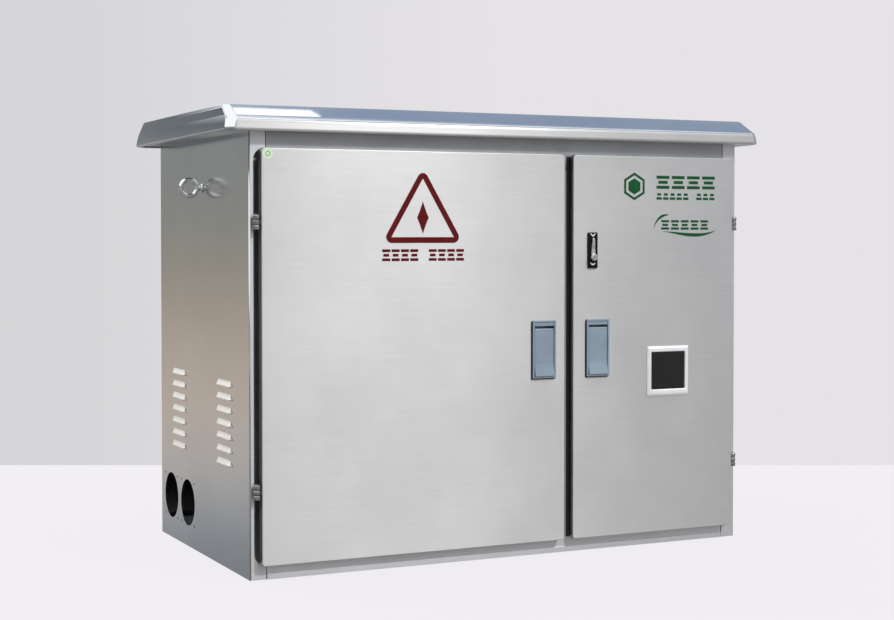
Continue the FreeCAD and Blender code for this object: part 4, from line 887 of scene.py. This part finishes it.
# ------------------------------------------------------------------ doors
@dataclass
class Hinges:
    """Lift-off barrel hinges: two frame barrels, a door barrel between them and a headed pin."""

    shop: Workshop
    barrel_r: float = 8.5 * MM
    barrel_h: float = 11 * MM
    gap: float = 0.5 * MM
    leaf_t: float = 5 * MM
    pin_r: float = 3 * MM
    heights: tuple[float, float] = (198 * MM, 798 * MM)

    def build(self) -> None:
        """Builds the left hinges and mirrors them."""
        low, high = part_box("hinge_pins")
        x, y = low[0] + 5 * MM, (low[1] + high[1]) / 2
        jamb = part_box("door_jambs")[0][1] + 20 * MM
        door_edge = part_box("left_door_skin")[0][0]
        half = 1.5 * self.barrel_h + self.gap
        barrel = rounded_rod(self.barrel_r, self.barrel_h, 2.6 * MM, 6)
        frame_shapes, door_shapes, pins = [], [], []
        for z in self.heights:
            for z0 in (z - half, z + half - self.barrel_h):
                frame_shapes += [turned(barrel, (x, y, z0), Axis.Z, 40),
                                 block(x - 2 * MM, x + 3 * MM, y, jamb, z0 + 0.4 * MM, z0 + self.barrel_h - 0.4 * MM)]
            z0 = z - self.barrel_h / 2
            door_shapes += [turned(barrel, (x, y, z0), Axis.Z, 40),
                            block(x, door_edge, y - self.leaf_t / 2, y + self.leaf_t / 2, z0 + 0.4 * MM,
                                  z0 + self.barrel_h - 0.4 * MM)]
            pins += [turned(rounded_rod(self.pin_r, 2 * half, 0.4 * MM), (x, y, z - half), Axis.Z, 20),
                     turned([(0, 0), (4.6 * MM, 0), (5 * MM, 0.4 * MM), (4.6 * MM, 1.1 * MM), (3.2 * MM, 1.7 * MM),
                             (0, 2 * MM)], (x, y, z + half), Axis.Z, 24)]
        for name, shapes, nodes in (
                ("frame_hinge_barrels", frame_shapes, ["frame_hinge_leaves"]), ("hinge_pin_set", pins, ["hinge_pins"])):
            both = together(shapes)
            self.shop.piece(name, both + both.mirrored(), Stuff.HINGE_STEEL, nodes[0], nodes)
        door = together(door_shapes)
        self.shop.piece("left_door_barrels", door, Stuff.HINGE_STEEL, "left_door_hinge_leaves",
                        ["left_door_hinge_leaves"])
        self.shop.piece("right_door_barrels", door.mirrored(), Stuff.HINGE_STEEL, "right_door_hinge_leaves",
                        ["right_door_hinge_leaves"])


@dataclass
class Doors:
    """Both door leaves with their gaskets and stiffener."""

    shop: Workshop

    def build(self) -> None:
        """Softens the folded leaves and lays the gaskets."""
        for side in ("left", "right"):
            self.shop.softened(side + "_door_skin", Stuff.DOOR_STEEL, 0.6 * MM)
            self.gasket(side)
        self.shop.softened("left_door_stiffener", Stuff.FRAME_STEEL, 0.6 * MM)

    def gasket(self, side: str) -> None:
        """Foam strip round the door: a domed section carried round a rounded outline."""
        node = side + "_door_gasket"
        low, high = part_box(node)
        width, back, front = 12 * MM, high[1], low[1]
        t = np.linspace(0, math.pi, 9)
        dome = [(width / 2 - width / 2 * math.cos(a), front + (back - front) * math.sin(a) ** 0.5) for a in t]
        shape = Face.of(node).frame([(0.0, front)] + dome[1:-1] + [(width, front)], 2 * MM)
        self.shop.piece(side + "_foam_seal", shape, Stuff.FOAM, node, [node])


@dataclass
class PaddleLock:
    """Flush paddle lock: a bezel and tray in the door, a bolt guide behind, and the paddle in front."""

    shop: Workshop
    side: str
    rim: float = 4.5 * MM
    bezel_t: float = 5 * MM
    tray_wall: float = 1.6 * MM
    tray_d: float = 20 * MM
    head_h: float = 9 * MM

    def build(self) -> None:
        """Builds the housing and the paddle."""
        node = self.side + "_lock_housing"
        low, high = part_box(node)
        bezel = Face(low[0], high[0], low[2], high[2])
        face, door = low[1], low[1] + self.bezel_t
        floor = door + self.tray_d
        e = 1.4 * MM
        rim = self.rim
        arc = np.linspace(0, math.pi / 2, 5)
        outer = [(e * (1 - math.cos(a)), face + e * (1 - math.sin(a))) for a in arc]
        inner = [(rim - 0.9 * MM * (1 - math.sin(a)), face + 0.9 * MM * (1 - math.cos(a))) for a in arc]
        profile = ([(0.0, door)] + outer + inner
                   + [(rim, floor - self.tray_wall), (rim - self.tray_wall, floor - self.tray_wall * 0.5),
                      (rim - self.tray_wall, door + 0.01 * MM)])
        ring = bezel.frame(profile, 3 * MM)
        inside = bezel.grown(-rim)
        pan = inside.grown(self.tray_wall).plate(floor, floor - self.tray_wall, 1.4 * MM, 0.3 * MM)
        head = inside.plate(floor - 1 * MM, face + 2 * MM, 0.6 * MM, 0.8 * MM)
        head.points[:, 2] = np.maximum(head.points[:, 2], inside.z1 - self.head_h)
        x, z = bezel.middle
        reach = Face(inside.x0, inside.x1, z - 13.3 * MM, z + 13.3 * MM)
        guide = reach.plate(high[1], floor - 0.5 * MM, 1.0 * MM, 0.4 * MM)
        screws = together(turned([(0, 0), (3.4 * MM, 0), (3.4 * MM, 0.9 * MM), (2.6 * MM, 1.7 * MM), (0, 2.0 * MM)],
                                 (x + dx * 22 * MM, floor, z + dz * 50 * MM), Axis.Y, 20)
                          for dx in (-1, 1) for dz in (-1, 1))
        self.shop.piece(self.side + "_lock_body", together([ring, pan, head, guide]), Stuff.LOCK_ENAMEL, node,
                        [node])
        self.shop.piece(self.side + "_lock_screws", screws, Stuff.PLATED, node)
        # black rim behind the bezel, reaching out past it on the left and at the bottom: painted shadow that the bezel
        # casts on the door
        bezel_shadow_outline = Face(bezel.x0 - 2.2 * MM, bezel.x1 - 0.5 * MM, bezel.z0 - 2.2 * MM, bezel.z1 - 0.5 * MM)
        bezel_shadow_rim = bezel_shadow_outline.frame([(0.0, door), (0.0, door - 2.2 * MM), (0.6 * MM, door - 2.8 * MM),
                             (5.5 * MM, door - 2.8 * MM), (5.5 * MM, door)], 3 * MM)
        self.shop.piece(self.side + "_lock_painted_shadow_rim", bezel_shadow_rim, Stuff.FOAM, node)
        self.paddle(inside, face)
        self.shop.softened(self.side + "_latch_bolt", Stuff.PLATED, 1.0 * MM)

    def paddle(self, inside: Face, face: float) -> None:
        """Pressed flap: its face is flat, then flares out over the foot as a smooth step, and its edges roll back.

        Args:
            inside: opening of the bezel.
            face: y of the bezel's front.
        """
        node = self.side + "_paddle"
        low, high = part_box(node)
        x0, x1, z0, z1 = low[0], high[0], low[2], high[2]
        flat, flare = face + 2 * MM, low[1]
        bend, thick, edge = z0 + 27 * MM, 3 * MM, 1.3 * MM
        z = np.concatenate([np.linspace(z0, bend + 4 * MM, 22), np.linspace(bend + 4 * MM, z1, 12)[1:]])
        share = np.clip((bend + 3 * MM - z) / (bend + 3 * MM - z0), 0, 1)
        lead = np.where(z > bend + 3 * MM, flat, flat + (flare - flat) * share ** 1.1)
        arc = np.linspace(0, math.pi / 2, 5)
        across = np.concatenate([x0 + edge * (1 - np.cos(arc)), x1 - edge * (1 - np.cos(arc[::-1]))])
        drop = np.concatenate([edge * (1 - np.sin(arc)), edge * (1 - np.sin(arc[::-1]))])
        ends = np.minimum((z - z0), (z1 - z))
        round_ends = np.where(ends < edge, edge - np.sqrt(np.maximum(edge ** 2 - (edge - ends) ** 2, 0)), 0.0)
        front = np.stack(np.broadcast_arrays(across[None, :], lead[:, None] + drop[None, :] + round_ends[:, None],
                                             z[:, None]), -1)
        back = front.copy()
        back[..., 1] = (lead + thick)[:, None]
        rings = np.concatenate([front, back[:, ::-1]], 1)
        flap = lofted(rings)
        barrel = turned(rounded_rod(3.5 * MM, x1 - x0, 0.6 * MM), (x0, flat + 3.5 * MM, z1 - 3.5 * MM), Axis.X, 24)
        self.shop.piece(self.side + "_paddle_flap", flap + barrel, Stuff.LOCK_ENAMEL, node, [node])


@dataclass
class KeyLock:
    """Key lock on the right door: enamelled plate, chromed lever on a hub, chromed plug and rear cam."""

    shop: Workshop
    lift: float = 0.3 * MM

    def build(self) -> None:
        """Builds the lock from front to back."""
        low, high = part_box("key_lock_body")
        plate = Face.of("key_lock_body")
        face = low[1]
        x, _ = plate.middle
        hub_z = plate.z0 + 27 * MM
        e = 1.0 * MM
        arc = np.linspace(0, math.pi / 2, 5)
        rim = [(e * (1 - math.cos(a)), face + e * (1 - math.sin(a))) for a in arc]
        ledge = [(2.6 * MM, face), (3.1 * MM, face + 0.7 * MM)]
        body = lofted(plate.rings([(0.0, face + 3.5 * MM)] + rim + ledge, 3 * MM))
        boss = turned(rounded_rod(11 * MM, high[1] - face - 2 * MM, 0.8 * MM), (x, face + 2 * MM, hub_z), Axis.Y, 36)
        self.shop.piece("key_lock_plate", body + boss, Stuff.BLACK_ENAMEL, "key_lock_body", ["key_lock_body"])
        arrow = np.array([(-9, 84.7), (-5.2, 84.7), (0, 80), (5.2, 84.7), (9, 84.7), (0, 76)], float)
        bow = np.linspace(0, math.pi, 13)
        smile = np.concatenate([np.stack([-7 * np.cos(bow), 14.5 - 6.9 * np.sin(bow)], 1),
                                np.stack([6.6 * np.cos(bow), 14.5 - 3.2 * np.sin(bow)], 1)[1:-1]])
        marks = together(prism(np.array((x, plate.z0)) + outline * MM, face + 0.7 * MM, face + 0.3 * MM)
                         for outline in (arrow, smile))
        self.shop.piece("key_lock_marks", marks, Stuff.WHITE_LABEL, "key_lock_body")
        self.lever(x, hub_z, plate.z0 + 74 * MM, face - self.lift)
        plug_face = face - self.lift - 9 * MM
        plug = turned([(0, 0.6 * MM), (3.9 * MM, 0.6 * MM), (4.2 * MM, 0), (4.8 * MM, 0.2 * MM), (5 * MM, 0.6 * MM),
                       (5 * MM, 6.6 * MM), (0, 6.6 * MM)], (x, plug_face, hub_z), Axis.Y, 28)
        self.shop.piece("key_barrel_plug", plug, Stuff.CHROME, "key_plug", ["key_plug"])
        # black sliver on the plug's face: painted shade for the depth of the keyway
        slot = Face(x - 0.7 * MM, x + 0.7 * MM, hub_z - 3.2 * MM, hub_z + 3.2 * MM)
        self.shop.piece("key_slot", slot.plate(plug_face + 0.7 * MM, plug_face + 0.45 * MM, 0.6 * MM, 0.05 * MM),
                        Stuff.FOAM, "key_plug")
        self.shop.softened("key_lock_cam", Stuff.PLATED, 0.6 * MM)

    def lever(self, x: float, hub_z: float, top: float, back: float) -> None:
        """Tapered lever with a crowned face, its hub and its spindle.

        Args:
            x: middle of the lock.
            hub_z: height of the hub.
            top: upper end of the lever.
            back: y of the lever's back.
        """
        z = np.linspace(hub_z, top, 24)
        share = (z - hub_z) / (top - hub_z)
        half = (6.5 - 3.0 * share) * MM
        tip = np.minimum(top - z, 3 * MM)
        half = half * np.sqrt(np.maximum(1 - ((3 * MM - tip) / (3 * MM)) ** 2, 0.02))
        angle = np.linspace(0, math.pi, 11)
        height = (3.0 + 2.0 * np.clip((share - 0.45) / 0.2, 0, 1)) * MM
        crown = np.stack(np.broadcast_arrays(
            x + half[:, None] * np.cos(angle)[None], back - height[:, None] * np.sin(angle)[None] ** 0.45,
            z[:, None]), -1)
        arm = lofted(crown)
        hub = turned([(0, 0), (8.5 * MM, 0), (8.5 * MM, 7.4 * MM), (8.0 * MM, 8.5 * MM), (7.0 * MM, 9 * MM),
                      (5.3 * MM, 9 * MM), (5.1 * MM, 8.7 * MM), (5.1 * MM, 2 * MM), (0, 2 * MM)],
                     (x, back, hub_z), Axis.FRONT, 40)
        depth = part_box("key_lock_handle")[1][1] - back
        spindle = turned(rounded_rod(5 * MM, depth, 0.5 * MM), (x, back, hub_z), Axis.Y, 24)
        self.shop.piece("key_lever_arm", together([arm, hub, spindle]), Stuff.CHROME, "key_lock_handle",
                        ["key_lock_handle"])


@dataclass
class MeterWindow:
    """Bevelled window frame with its glass and gasket."""

    shop: Workshop
    bars: tuple[float, float, float] = (0.85, 1.3, 1.12)     # widths of the side, lower and upper bars over 12 mm

    def build(self) -> None:
        """Carries the frame's section round the opening."""
        low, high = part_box("window_frame")
        face, door, back = low[1], low[1] + 5 * MM, high[1]
        outline = Face.of("window_frame")
        profile = [(0.0, door), (0.0, face + 3.6 * MM), (0.25 * MM, face + 3.2 * MM), (3.3 * MM, face + 0.2 * MM),
                   (3.7 * MM, face), (10.6 * MM, face), (11.4 * MM, face + 0.3 * MM), (12 * MM, face + 1.0 * MM),
                   (12 * MM, door), (9 * MM, door), (9 * MM, back), (6 * MM, back), (6 * MM, door)]
        surround = outline.frame(profile, 1.0 * MM)
        x, z = surround.points[:, 0], surround.points[:, 2]
        surround.points[:, 0] = np.where(x < outline.middle[0], outline.x0 + (x - outline.x0) * self.bars[0],
                                         outline.x1 - (outline.x1 - x) * self.bars[0])
        surround.points[:, 2] = np.where(z < outline.middle[1], outline.z0 + (z - outline.z0) * self.bars[1],
                                         outline.z1 - (outline.z1 - z) * self.bars[2])
        self.shop.piece("window_surround", surround, Stuff.WINDOW_ALLOY, "window_frame", ["window_frame"])
        self.shop.softened("window_glass", Stuff.SMOKED_GLASS, 0.4 * MM)
        self.shop.softened("window_gasket", Stuff.FOAM, 0.5 * MM)


@dataclass
class Graphics:
    """Plain printed marks on the doors: thin ink, each a generic shape."""

    shop: Workshop
    ink: float = 0.25 * MM

    def build(self) -> None:
        """Prints the triangle, the rows of dashes, the hexagon and the sticker."""
        self.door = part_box("left_door_skin")[0][1]
        red = self.triangle((-235.5 * MM, 751.5 * MM), 185 * MM, 163.5 * MM, 14 * MM)
        self.shop.piece("red_triangle_mark", red + self.lozenge((-235.5 * MM, 810 * MM), 15 * MM, 38 * MM),
                        Stuff.RED_INK, "left_door_skin")
        dashes = self.row(-338 * MM, 710 * MM, 23.5 * MM, 31 * MM, (1, 1, 1, 1, 0, 1, 1, 1, 1), 0.86)
        self.shop.piece("red_dash_row", dashes, Stuff.RED_INK, "left_door_skin")
        green = [self.hexagon((337 * MM, 889 * MM), 34 * MM), self.hexagon((337 * MM, 889 * MM), 20 * MM, solid=True),
                 self.row(401 * MM, 884 * MM, 45 * MM, 37 * MM, (1, 1, 1, 1), 0.84),
                 self.row(401 * MM, 857 * MM, 19.6 * MM, 20 * MM, (1, 1, 1, 1, 1, 0, 1, 1, 1), 0.8, 2),
                 self.row(415 * MM, 783 * MM, 29 * MM, 27 * MM, (1, 1, 1, 1, 1), 0.8),
                 self.swoosh(((393 * MM, 784 * MM), (398 * MM, 808 * MM), (418 * MM, 822 * MM), (438 * MM, 819 * MM)),
                             6 * MM),
                 self.swoosh(((418 * MM, 778 * MM), (455 * MM, 779 * MM), (520 * MM, 757 * MM), (577 * MM, 781 * MM)),
                             8 * MM)]
        self.shop.piece("green_marks", together(green), Stuff.GREEN_INK, "right_door_skin")
        angle = np.linspace(0, 2 * math.pi, 40, endpoint=False)
        disc = np.stack([-613 * MM + 12 * MM * np.cos(angle), 950 * MM + 12.5 * MM * np.sin(angle)], 1)
        self.shop.piece("round_sticker", prism(disc, self.door, self.door - 0.2 * MM), Stuff.PALE_STICKER,
                        "left_door_skin")
        self.shop.piece("sticker_tick", self.hexagon((-613 * MM, 950 * MM), 6 * MM, layer=0.35 * MM),
                        Stuff.GREEN_INK, "left_door_skin")

    def ribbon(self, outer: Array, inner: Array, layer: float | None = None) -> Shape:
        """Closed band between two outlines with matching points."""
        front = self.door - (layer or self.ink)
        rings = []
        for flat, y in ((outer, self.door), (outer, front), (inner, front), (inner, self.door)):
            rings.append(np.stack([flat[:, 0], np.full(len(flat), y), flat[:, 1]], 1))
        return lattice(np.array(rings), wrap_rows=True, wrap_columns=True)

    def triangle(self, foot: tuple[float, float], width: float, height: float, stroke: float) -> Shape:
        """Outline of a triangle whose corners are arcs round its three inner points."""
        x, z = foot
        reach = stroke
        points = np.array([(x + width / 2 - reach * 1.0, z + reach), (x, z + height - reach * 1.15),
                           (x - width / 2 + reach * 1.0, z + reach)])
        starts = np.radians([-90, 28, 152])
        sweep = np.radians([118, 124, 118])
        t = np.linspace(0, 1, 9)
        outer, inner = [], []
        for point, a0, turn in zip(points, starts, sweep):
            angle = a0 + turn * t
            ring = np.stack([np.cos(angle), np.sin(angle)], 1)
            outer.append(point + reach * ring)
            inner.append(point + 0.6 * MM * ring)
        return self.ribbon(np.concatenate(outer), np.concatenate(inner))

    def lozenge(self, at: tuple[float, float], half_w: float, half_h: float) -> Shape:
        """Upright diamond with slightly hollow sides."""
        angle = np.linspace(0, 2 * math.pi, 48, endpoint=False)
        c, s = np.cos(angle), np.sin(angle)
        flat = np.stack([at[0] + half_w * np.sign(c) * np.abs(c) ** 2.2, at[1] + half_h * np.sign(s) * np.abs(s) ** 2.2], 1)
        return prism(flat, self.door, self.door - self.ink)

    def hexagon(self, at: tuple[float, float], radius: float, solid: bool = False,
                layer: float | None = None) -> Shape:
        """Hexagon on a corner, solid or as an outline."""
        angle = np.radians(np.arange(6) * 60 + 30)
        ring = np.stack([np.cos(angle), np.sin(angle)], 1)
        if solid:
            return prism(np.array(at) + radius * ring, self.door, self.door - self.ink)
        return self.ribbon(np.array(at) + radius * ring, np.array(at) + radius * 0.8 * ring, layer)

    def row(self, x: float, z: float, pitch: float, height: float, pattern: Sequence[int], fill: float,
            lines: int = 3) -> Shape:
        """Row of plain blocks, each made of a few dashes, with a gap where the pattern has a nought."""
        shapes = []
        for i, on in enumerate(pattern):
            if not on:
                continue
            x0, x1 = x + i * pitch, x + (i + fill) * pitch
            step = height / lines
            for line in range(lines):
                inset = 0.0 if line % 2 == 0 else 0.14 * (x1 - x0)
                bar = rounded_outline(x0 + inset, x1 - inset, z + line * step, z + (line + 0.62) * step, 0.9 * MM, 3)
                shapes.append(prism(bar, self.door, self.door - self.ink))
        return together(shapes)

    def swoosh(self, controls: Sequence[tuple[float, float]], width: float) -> Shape:
        """Band along a cubic curve that is widest past its middle and tapers to both ends."""
        p = np.array(controls)
        t = np.linspace(0, 1, 28)[:, None]
        path = ((1 - t) ** 3 * p[0] + 3 * t * (1 - t) ** 2 * p[1] + 3 * t ** 2 * (1 - t) * p[2] + t ** 3 * p[3])
        ahead = np.gradient(path, axis=0)
        ahead /= np.linalg.norm(ahead, axis=1)[:, None]
        side = np.stack([-ahead[:, 1], ahead[:, 0]], 1)
        taper = width / 2 * np.sin(math.pi * t ** 1.4) + 0.2 * MM
        outline = np.concatenate([path + side * taper, (path - side * taper)[::-1]])
        return prism(outline, self.door, self.door - self.ink)


# ------------------------------------------------------------------ inside
@dataclass
class Switchgear:
    """Power compartment: busbars, isolator, breakers, transformers, capacitors and arrester."""

    shop: Workshop

    def build(self) -> None:
        """Softens the moulded and cut parts."""
        for nodes, stuff, bevel in (
                (("phase_busbars", "neutral_bar", "feeder_bars"), Stuff.COPPER, 0.7),
                (("earth_bar",), Stuff.COPPER, 0.6),
                (("busbar_insulators",), Stuff.RED_POLYESTER, 1.5),
                (("isolator_base", "isolator_carrier", "surge_arrester"), Stuff.GREY_THERMOSET, 1.2),
                (("fuse_links",), Stuff.CERAMIC, 1.5),
                (("breaker_cases", "breaker_toggle_1", "breaker_toggle_2", "breaker_toggle_3"),
                 Stuff.BLACK_THERMOSET, 1.2),
                (("current_transformers",), Stuff.RESIN, 3.0),
                (("capacitor_cans",), Stuff.DRAWN_ALUMINIUM, 2.0)):
            for node in nodes:
                self.shop.softened(node, stuff, bevel * MM)


@dataclass
class Metering:
    """Meter, its button and display, test terminals and collector."""

    shop: Workshop

    def build(self) -> None:
        """Softens the mouldings."""
        for node, stuff, bevel in (("meter_base", Stuff.WHITE_MOULDING, 2.0), ("meter_button", Stuff.WHITE_MOULDING, 0.6),
                                   ("collector_unit", Stuff.WHITE_MOULDING, 1.5),
                                   ("meter_cover", Stuff.POLYCARBONATE, 1.0), ("meter_display", Stuff.DISPLAY, 0.6),
                                   ("test_terminal_block", Stuff.BEIGE_MOULDING, 0.8)):
            self.shop.softened(node, stuff, bevel * MM)


# ------------------------------------------------------------------ studio
@dataclass
class Studio:
    """Camera, pale floor, sky and soft lights."""

    eye: tuple[float, float, float] = (-1.8662, -3.8870, 0.7723)
    yaw: float = 25.704              # degrees from +Y towards +X
    pitch: float = -1.529
    lens: float = 67.55
    shift_y: float = -0.0350
    floor_depth: float = 5.59        # camera to the floor's far edge
    floor_half: float = 4.0
    gain: float = 1.6                # of the surroundings; their colours are stored over it
    sun_from: tuple[float, float, float] = (0.40, -0.61, 0.684)
    sun_strength: float = 0.55

    def build(self) -> None:
        """Sets the stage."""
        self.camera()
        self.floor()
        self.sky()
        self.lights()
        self.card()
        bpy.context.scene.view_settings.view_transform = "Standard"

    def camera(self) -> None:
        """The camera, level but for its pitch."""
        data = bpy.data.cameras.new("camera")
        data.lens, data.sensor_width = self.lens, 36.0
        data.shift_y = self.shift_y
        data.clip_start, data.clip_end = 0.05, 60.0
        camera = bpy.data.objects.new("camera", data)
        camera.location = self.eye
        camera.rotation_euler = (math.radians(90 + self.pitch), 0.0, math.radians(-self.yaw))
        bpy.context.scene.collection.objects.link(camera)
        bpy.context.scene.camera = camera

    def floor(self) -> None:
        """Pale floor whose far edge is level in the view."""
        yaw = math.radians(self.yaw)
        ahead, right = np.array((math.sin(yaw), math.cos(yaw))), np.array((math.cos(yaw), -math.sin(yaw)))
        eye = np.array(self.eye[:2])
        corners = [eye + ahead * depth + right * side * self.floor_half
                   for depth, side in ((-2.0, -1), (-2.0, 1), (self.floor_depth, 1), (self.floor_depth, -1))]
        mesh = bpy.data.meshes.new("floor")
        mesh.from_pydata([(x, y, -0.0005) for x, y in corners], [], [(0, 1, 2, 3)])
        floor = bpy.data.objects.new("floor", mesh)
        bpy.context.scene.collection.objects.link(floor)
        material = bpy.data.materials.new("studio_floor")
        material.use_nodes = True
        shader = material.node_tree.nodes["Principled BSDF"]
        shader.inputs["Base Color"].default_value = linear("#302F30")
        shader.inputs["Roughness"].default_value = 0.9
        shader.inputs["Specular IOR Level"].default_value = 0.1
        shader.inputs["Emission Color"].default_value = linear("#EEEBEE")
        shader.inputs["Emission Strength"].default_value = 0.97
        mesh.materials.append(material)
        floor.visible_glossy = False

    def band(self, tree: bpy.types.NodeTree, height: Any, stops: Sequence[tuple[float, str, float]]) -> Any:
        """Colour by elevation.

        Args:
            tree: the world's node tree.
            height: socket with the sine of the elevation.
            stops: (elevation in degrees, colour, brightness) from low to high.

        Returns:
            The colour socket.
        """
        share = add(tree, "MapRange", {"Value": height, "From Min": -1.0, "From Max": 1.0})
        ramp = add(tree, "ValToRGB", {"Fac": share.outputs[0]})
        elements = ramp.color_ramp.elements
        while len(elements) > 1:
            elements.remove(elements[-1])
        for index, (elevation, colour, bright) in enumerate(stops):
            position = (math.sin(math.radians(elevation)) + 1) / 2
            element = elements[0] if index == 0 else elements.new(position)
            element.position = position
            red, green, blue, _ = linear(colour)
            element.color = [v * bright / self.gain for v in (red, green, blue)] + [1.0]
        return ramp.outputs["Color"]

    def sky(self) -> None:
        """Surroundings: plain to the camera, and to reflections a yard with its sky, wall and ground."""
        world = bpy.data.worlds.new("studio")
        bpy.context.scene.world = world
        world.use_nodes = True
        tree = world.node_tree
        tree.nodes.clear()
        way = add(tree, "TexCoord").outputs["Generated"]
        split = add(tree, "SeparateXYZ", {"Vector": way})
        x, y, z = split.outputs
        wall = self.band(tree, z, ((-90, "#8A8F94", 0.9), (-13, "#8B9197", 1.0), (-10.6, "#8D939A", 1.05),
                                   (-9.2, "#A6A9AE", 1.15), (-8.0, "#BFBBB8", 1.2), (-6.0, "#C9BCB0", 1.2),
                                   (-3.3, "#BCAEA0", 1.15), (-1.0, "#A09C90", 1.1), (0.8, "#999A96", 1.05),
                                   (3.5, "#989C9B", 1.05), (8.5, "#83888B", 1.0), (11.5, "#767B7E", 1.0),
                                   (14, "#B4B8BB", 1.1), (17, "#FFFFFF", 1.6), (90, "#FFFFFF", 1.6)))
        yard = self.band(tree, z, ((-90, "#B9BCC0", 1.0), (-5, "#A9ADB2", 1.0), (15, "#9AA3AE", 1.0),
                                   (38, "#A7B4C6", 1.05), (50, "#9FAFC8", 1.1), (58, "#B9C4D4", 1.1),
                                   (75, "#F2F5FA", 1.3), (90, "#FFFFFF", 1.4)))
        street = self.band(tree, z, ((-90, "#C8C1B8", 0.58), (-25, "#D0C9C2", 0.64), (-10, "#D8D3CE", 0.7),
                                     (-3, "#E0DEDC", 0.7), (4, "#E2E5EA", 0.7), (14, "#E6EBF1", 0.8),
                                     (35, "#F2F6FB", 1.15), (50, "#FFFFFF", 1.6), (90, "#FFFFFF", 1.6)))
        cloud = add(tree, "TexNoise", {"Vector": way, "Scale": 3.2, "Detail": 2.0})
        patch = add(tree, "MapRange", {"Value": cloud.outputs["Fac"], "From Min": 0.3, "From Max": 0.7,
                                       "To Min": 0.86, "To Max": 1.14})
        street = add(tree, "VectorMath", {0: street, "Scale": patch.outputs[0]}, operation="SCALE").outputs[0]
        to_left = add(tree, "MapRange", {"Value": x, "From Min": -0.8, "From Max": -0.5})
        street = add(tree, "Mix", {"Factor": to_left.outputs[0], 6: wall, 7: street}, data_type="RGBA").outputs[2]
        to_right = add(tree, "MapRange", {"Value": x, "From Min": 0.05, "From Max": 0.4},
                       interpolation_type="SMOOTHSTEP")
        behind = add(tree, "Mix", {"Factor": to_right.outputs[0], 6: wall, 7: yard}, data_type="RGBA")
        to_back = add(tree, "MapRange", {"Value": y, "From Min": -0.1, "From Max": 0.25},
                      interpolation_type="SMOOTHSTEP")
        around = add(tree, "Mix", {"Factor": to_back.outputs[0], 6: street, 7: behind.outputs[2]},
                     data_type="RGBA")
        yaw = math.radians(self.yaw)
        across = add(tree, "VectorMath", {0: way, 1: (math.cos(yaw), -math.sin(yaw), 0.0)},
                     operation="DOT_PRODUCT")
        side = add(tree, "MapRange", {"Value": across.outputs["Value"], "From Min": -0.215, "From Max": 0.03})
        backdrop = add(tree, "Mix", {"Factor": side.outputs[0], 6: linear("#D6D6D8"), 7: linear("#E6E3E6")},
                       data_type="RGBA")
        plain = add(tree, "Background", {"Color": backdrop.outputs[2], "Strength": 1.0})
        lit = add(tree, "Background", {"Color": around.outputs[2], "Strength": self.gain})
        seen = add(tree, "LightPath").outputs["Is Camera Ray"]
        both = add(tree, "MixShader", {"Fac": seen, 1: lit.outputs[0], 2: plain.outputs[0]})
        add(tree, "OutputWorld", {"Surface": both.outputs[0]})

    def card(self) -> None:
        """White reflector over the roof's front slope, seen in glossy reflections only.

        Each corner is r times reach beyond a point of the slope, where r mirrors the view's direction d in
        the slope: r = d - 2 (d . n) n.
        """
        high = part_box("roof_pan")[1]
        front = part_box("roof_pan")[0][1]
        eave, top = np.array((front + 5 * MM, high[2] - 34 * MM)), np.array((front + 61 * MM, high[2] - 1 * MM))
        spots = [(x * MM, *(eave + (top - eave) * share))
                 for x, share in ((-700, 0.3), (-478, 0.3), (-496, 0.85), (-690, 0.85))]
        normal = np.array((0.0, -34.5, 60.0))
        normal /= np.linalg.norm(normal)
        ahead = np.array(spots) - np.array(self.eye)
        ahead /= np.linalg.norm(ahead, axis=1)[:, None]
        mirrored = ahead - 2 * (ahead @ normal)[:, None] * normal
        corners = np.array(spots) + 0.5 * mirrored
        mesh = bpy.data.meshes.new("reflector_card")
        mesh.from_pydata(corners.tolist(), [], [(0, 1, 2, 3)])
        card = bpy.data.objects.new("reflector_card", mesh)
        bpy.context.scene.collection.objects.link(card)
        material = bpy.data.materials.new("white_card")
        material.use_nodes = True
        shader = material.node_tree.nodes["Principled BSDF"]
        shader.inputs["Emission Color"].default_value = (1.0, 1.0, 1.0, 1.0)
        shader.inputs["Emission Strength"].default_value = 1.7
        mesh.materials.append(material)
        card.visible_camera = card.visible_diffuse = card.visible_shadow = card.visible_transmission = False

    def lights(self) -> None:
        """Two large soft lights, over the front and over the left, and a key light from high on the right."""
        for name, place, size, power in (("front_softbox", (1.6, -3.6, 3.4), 2.6, 14.0),
                                         ("left_softbox", (-3.4, -1.2, 3.0), 2.4, 14.0)):
            data = bpy.data.lights.new(name, "AREA")
            data.shape, data.size, data.energy = "SQUARE", size, power
            light = bpy.data.objects.new(name, data)
            light.location = place
            light.rotation_euler = (Vector((0, 0, 0.5)) - Vector(place)).to_track_quat("-Z", "Y").to_euler()
            light.visible_glossy = False
            bpy.context.scene.collection.objects.link(light)
        data = bpy.data.lights.new("key_light", "SUN")
        data.energy, data.angle, data.color = self.sun_strength, math.radians(4.0), (1.0, 0.975, 0.94)
        light = bpy.data.objects.new("key_light", data)
        light.rotation_euler = (-Vector(self.sun_from)).to_track_quat("-Z", "Y").to_euler()
        bpy.context.scene.collection.objects.link(light)


def main() -> None:
    """Builds the cabinet's looks in order."""
    logging.basicConfig(level=logging.INFO, format="%(message)s")
    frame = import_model()
    shop = Workshop(frame)
    Studio().build()
    Roof(shop).build()
    SidePanel(shop, -1, True).build()
    SidePanel(shop, 1, False).build()
    Shell(shop).build()
    LiftingEyes(shop).build()
    Hinges(shop).build()
    Doors(shop).build()
    for side in ("left", "right"):
        PaddleLock(shop, side).build()
    KeyLock(shop).build()
    MeterWindow(shop).build()
    Graphics(shop).build()
    Switchgear(shop).build()
    Metering(shop).build()


if __name__ == "__main__":
    main()
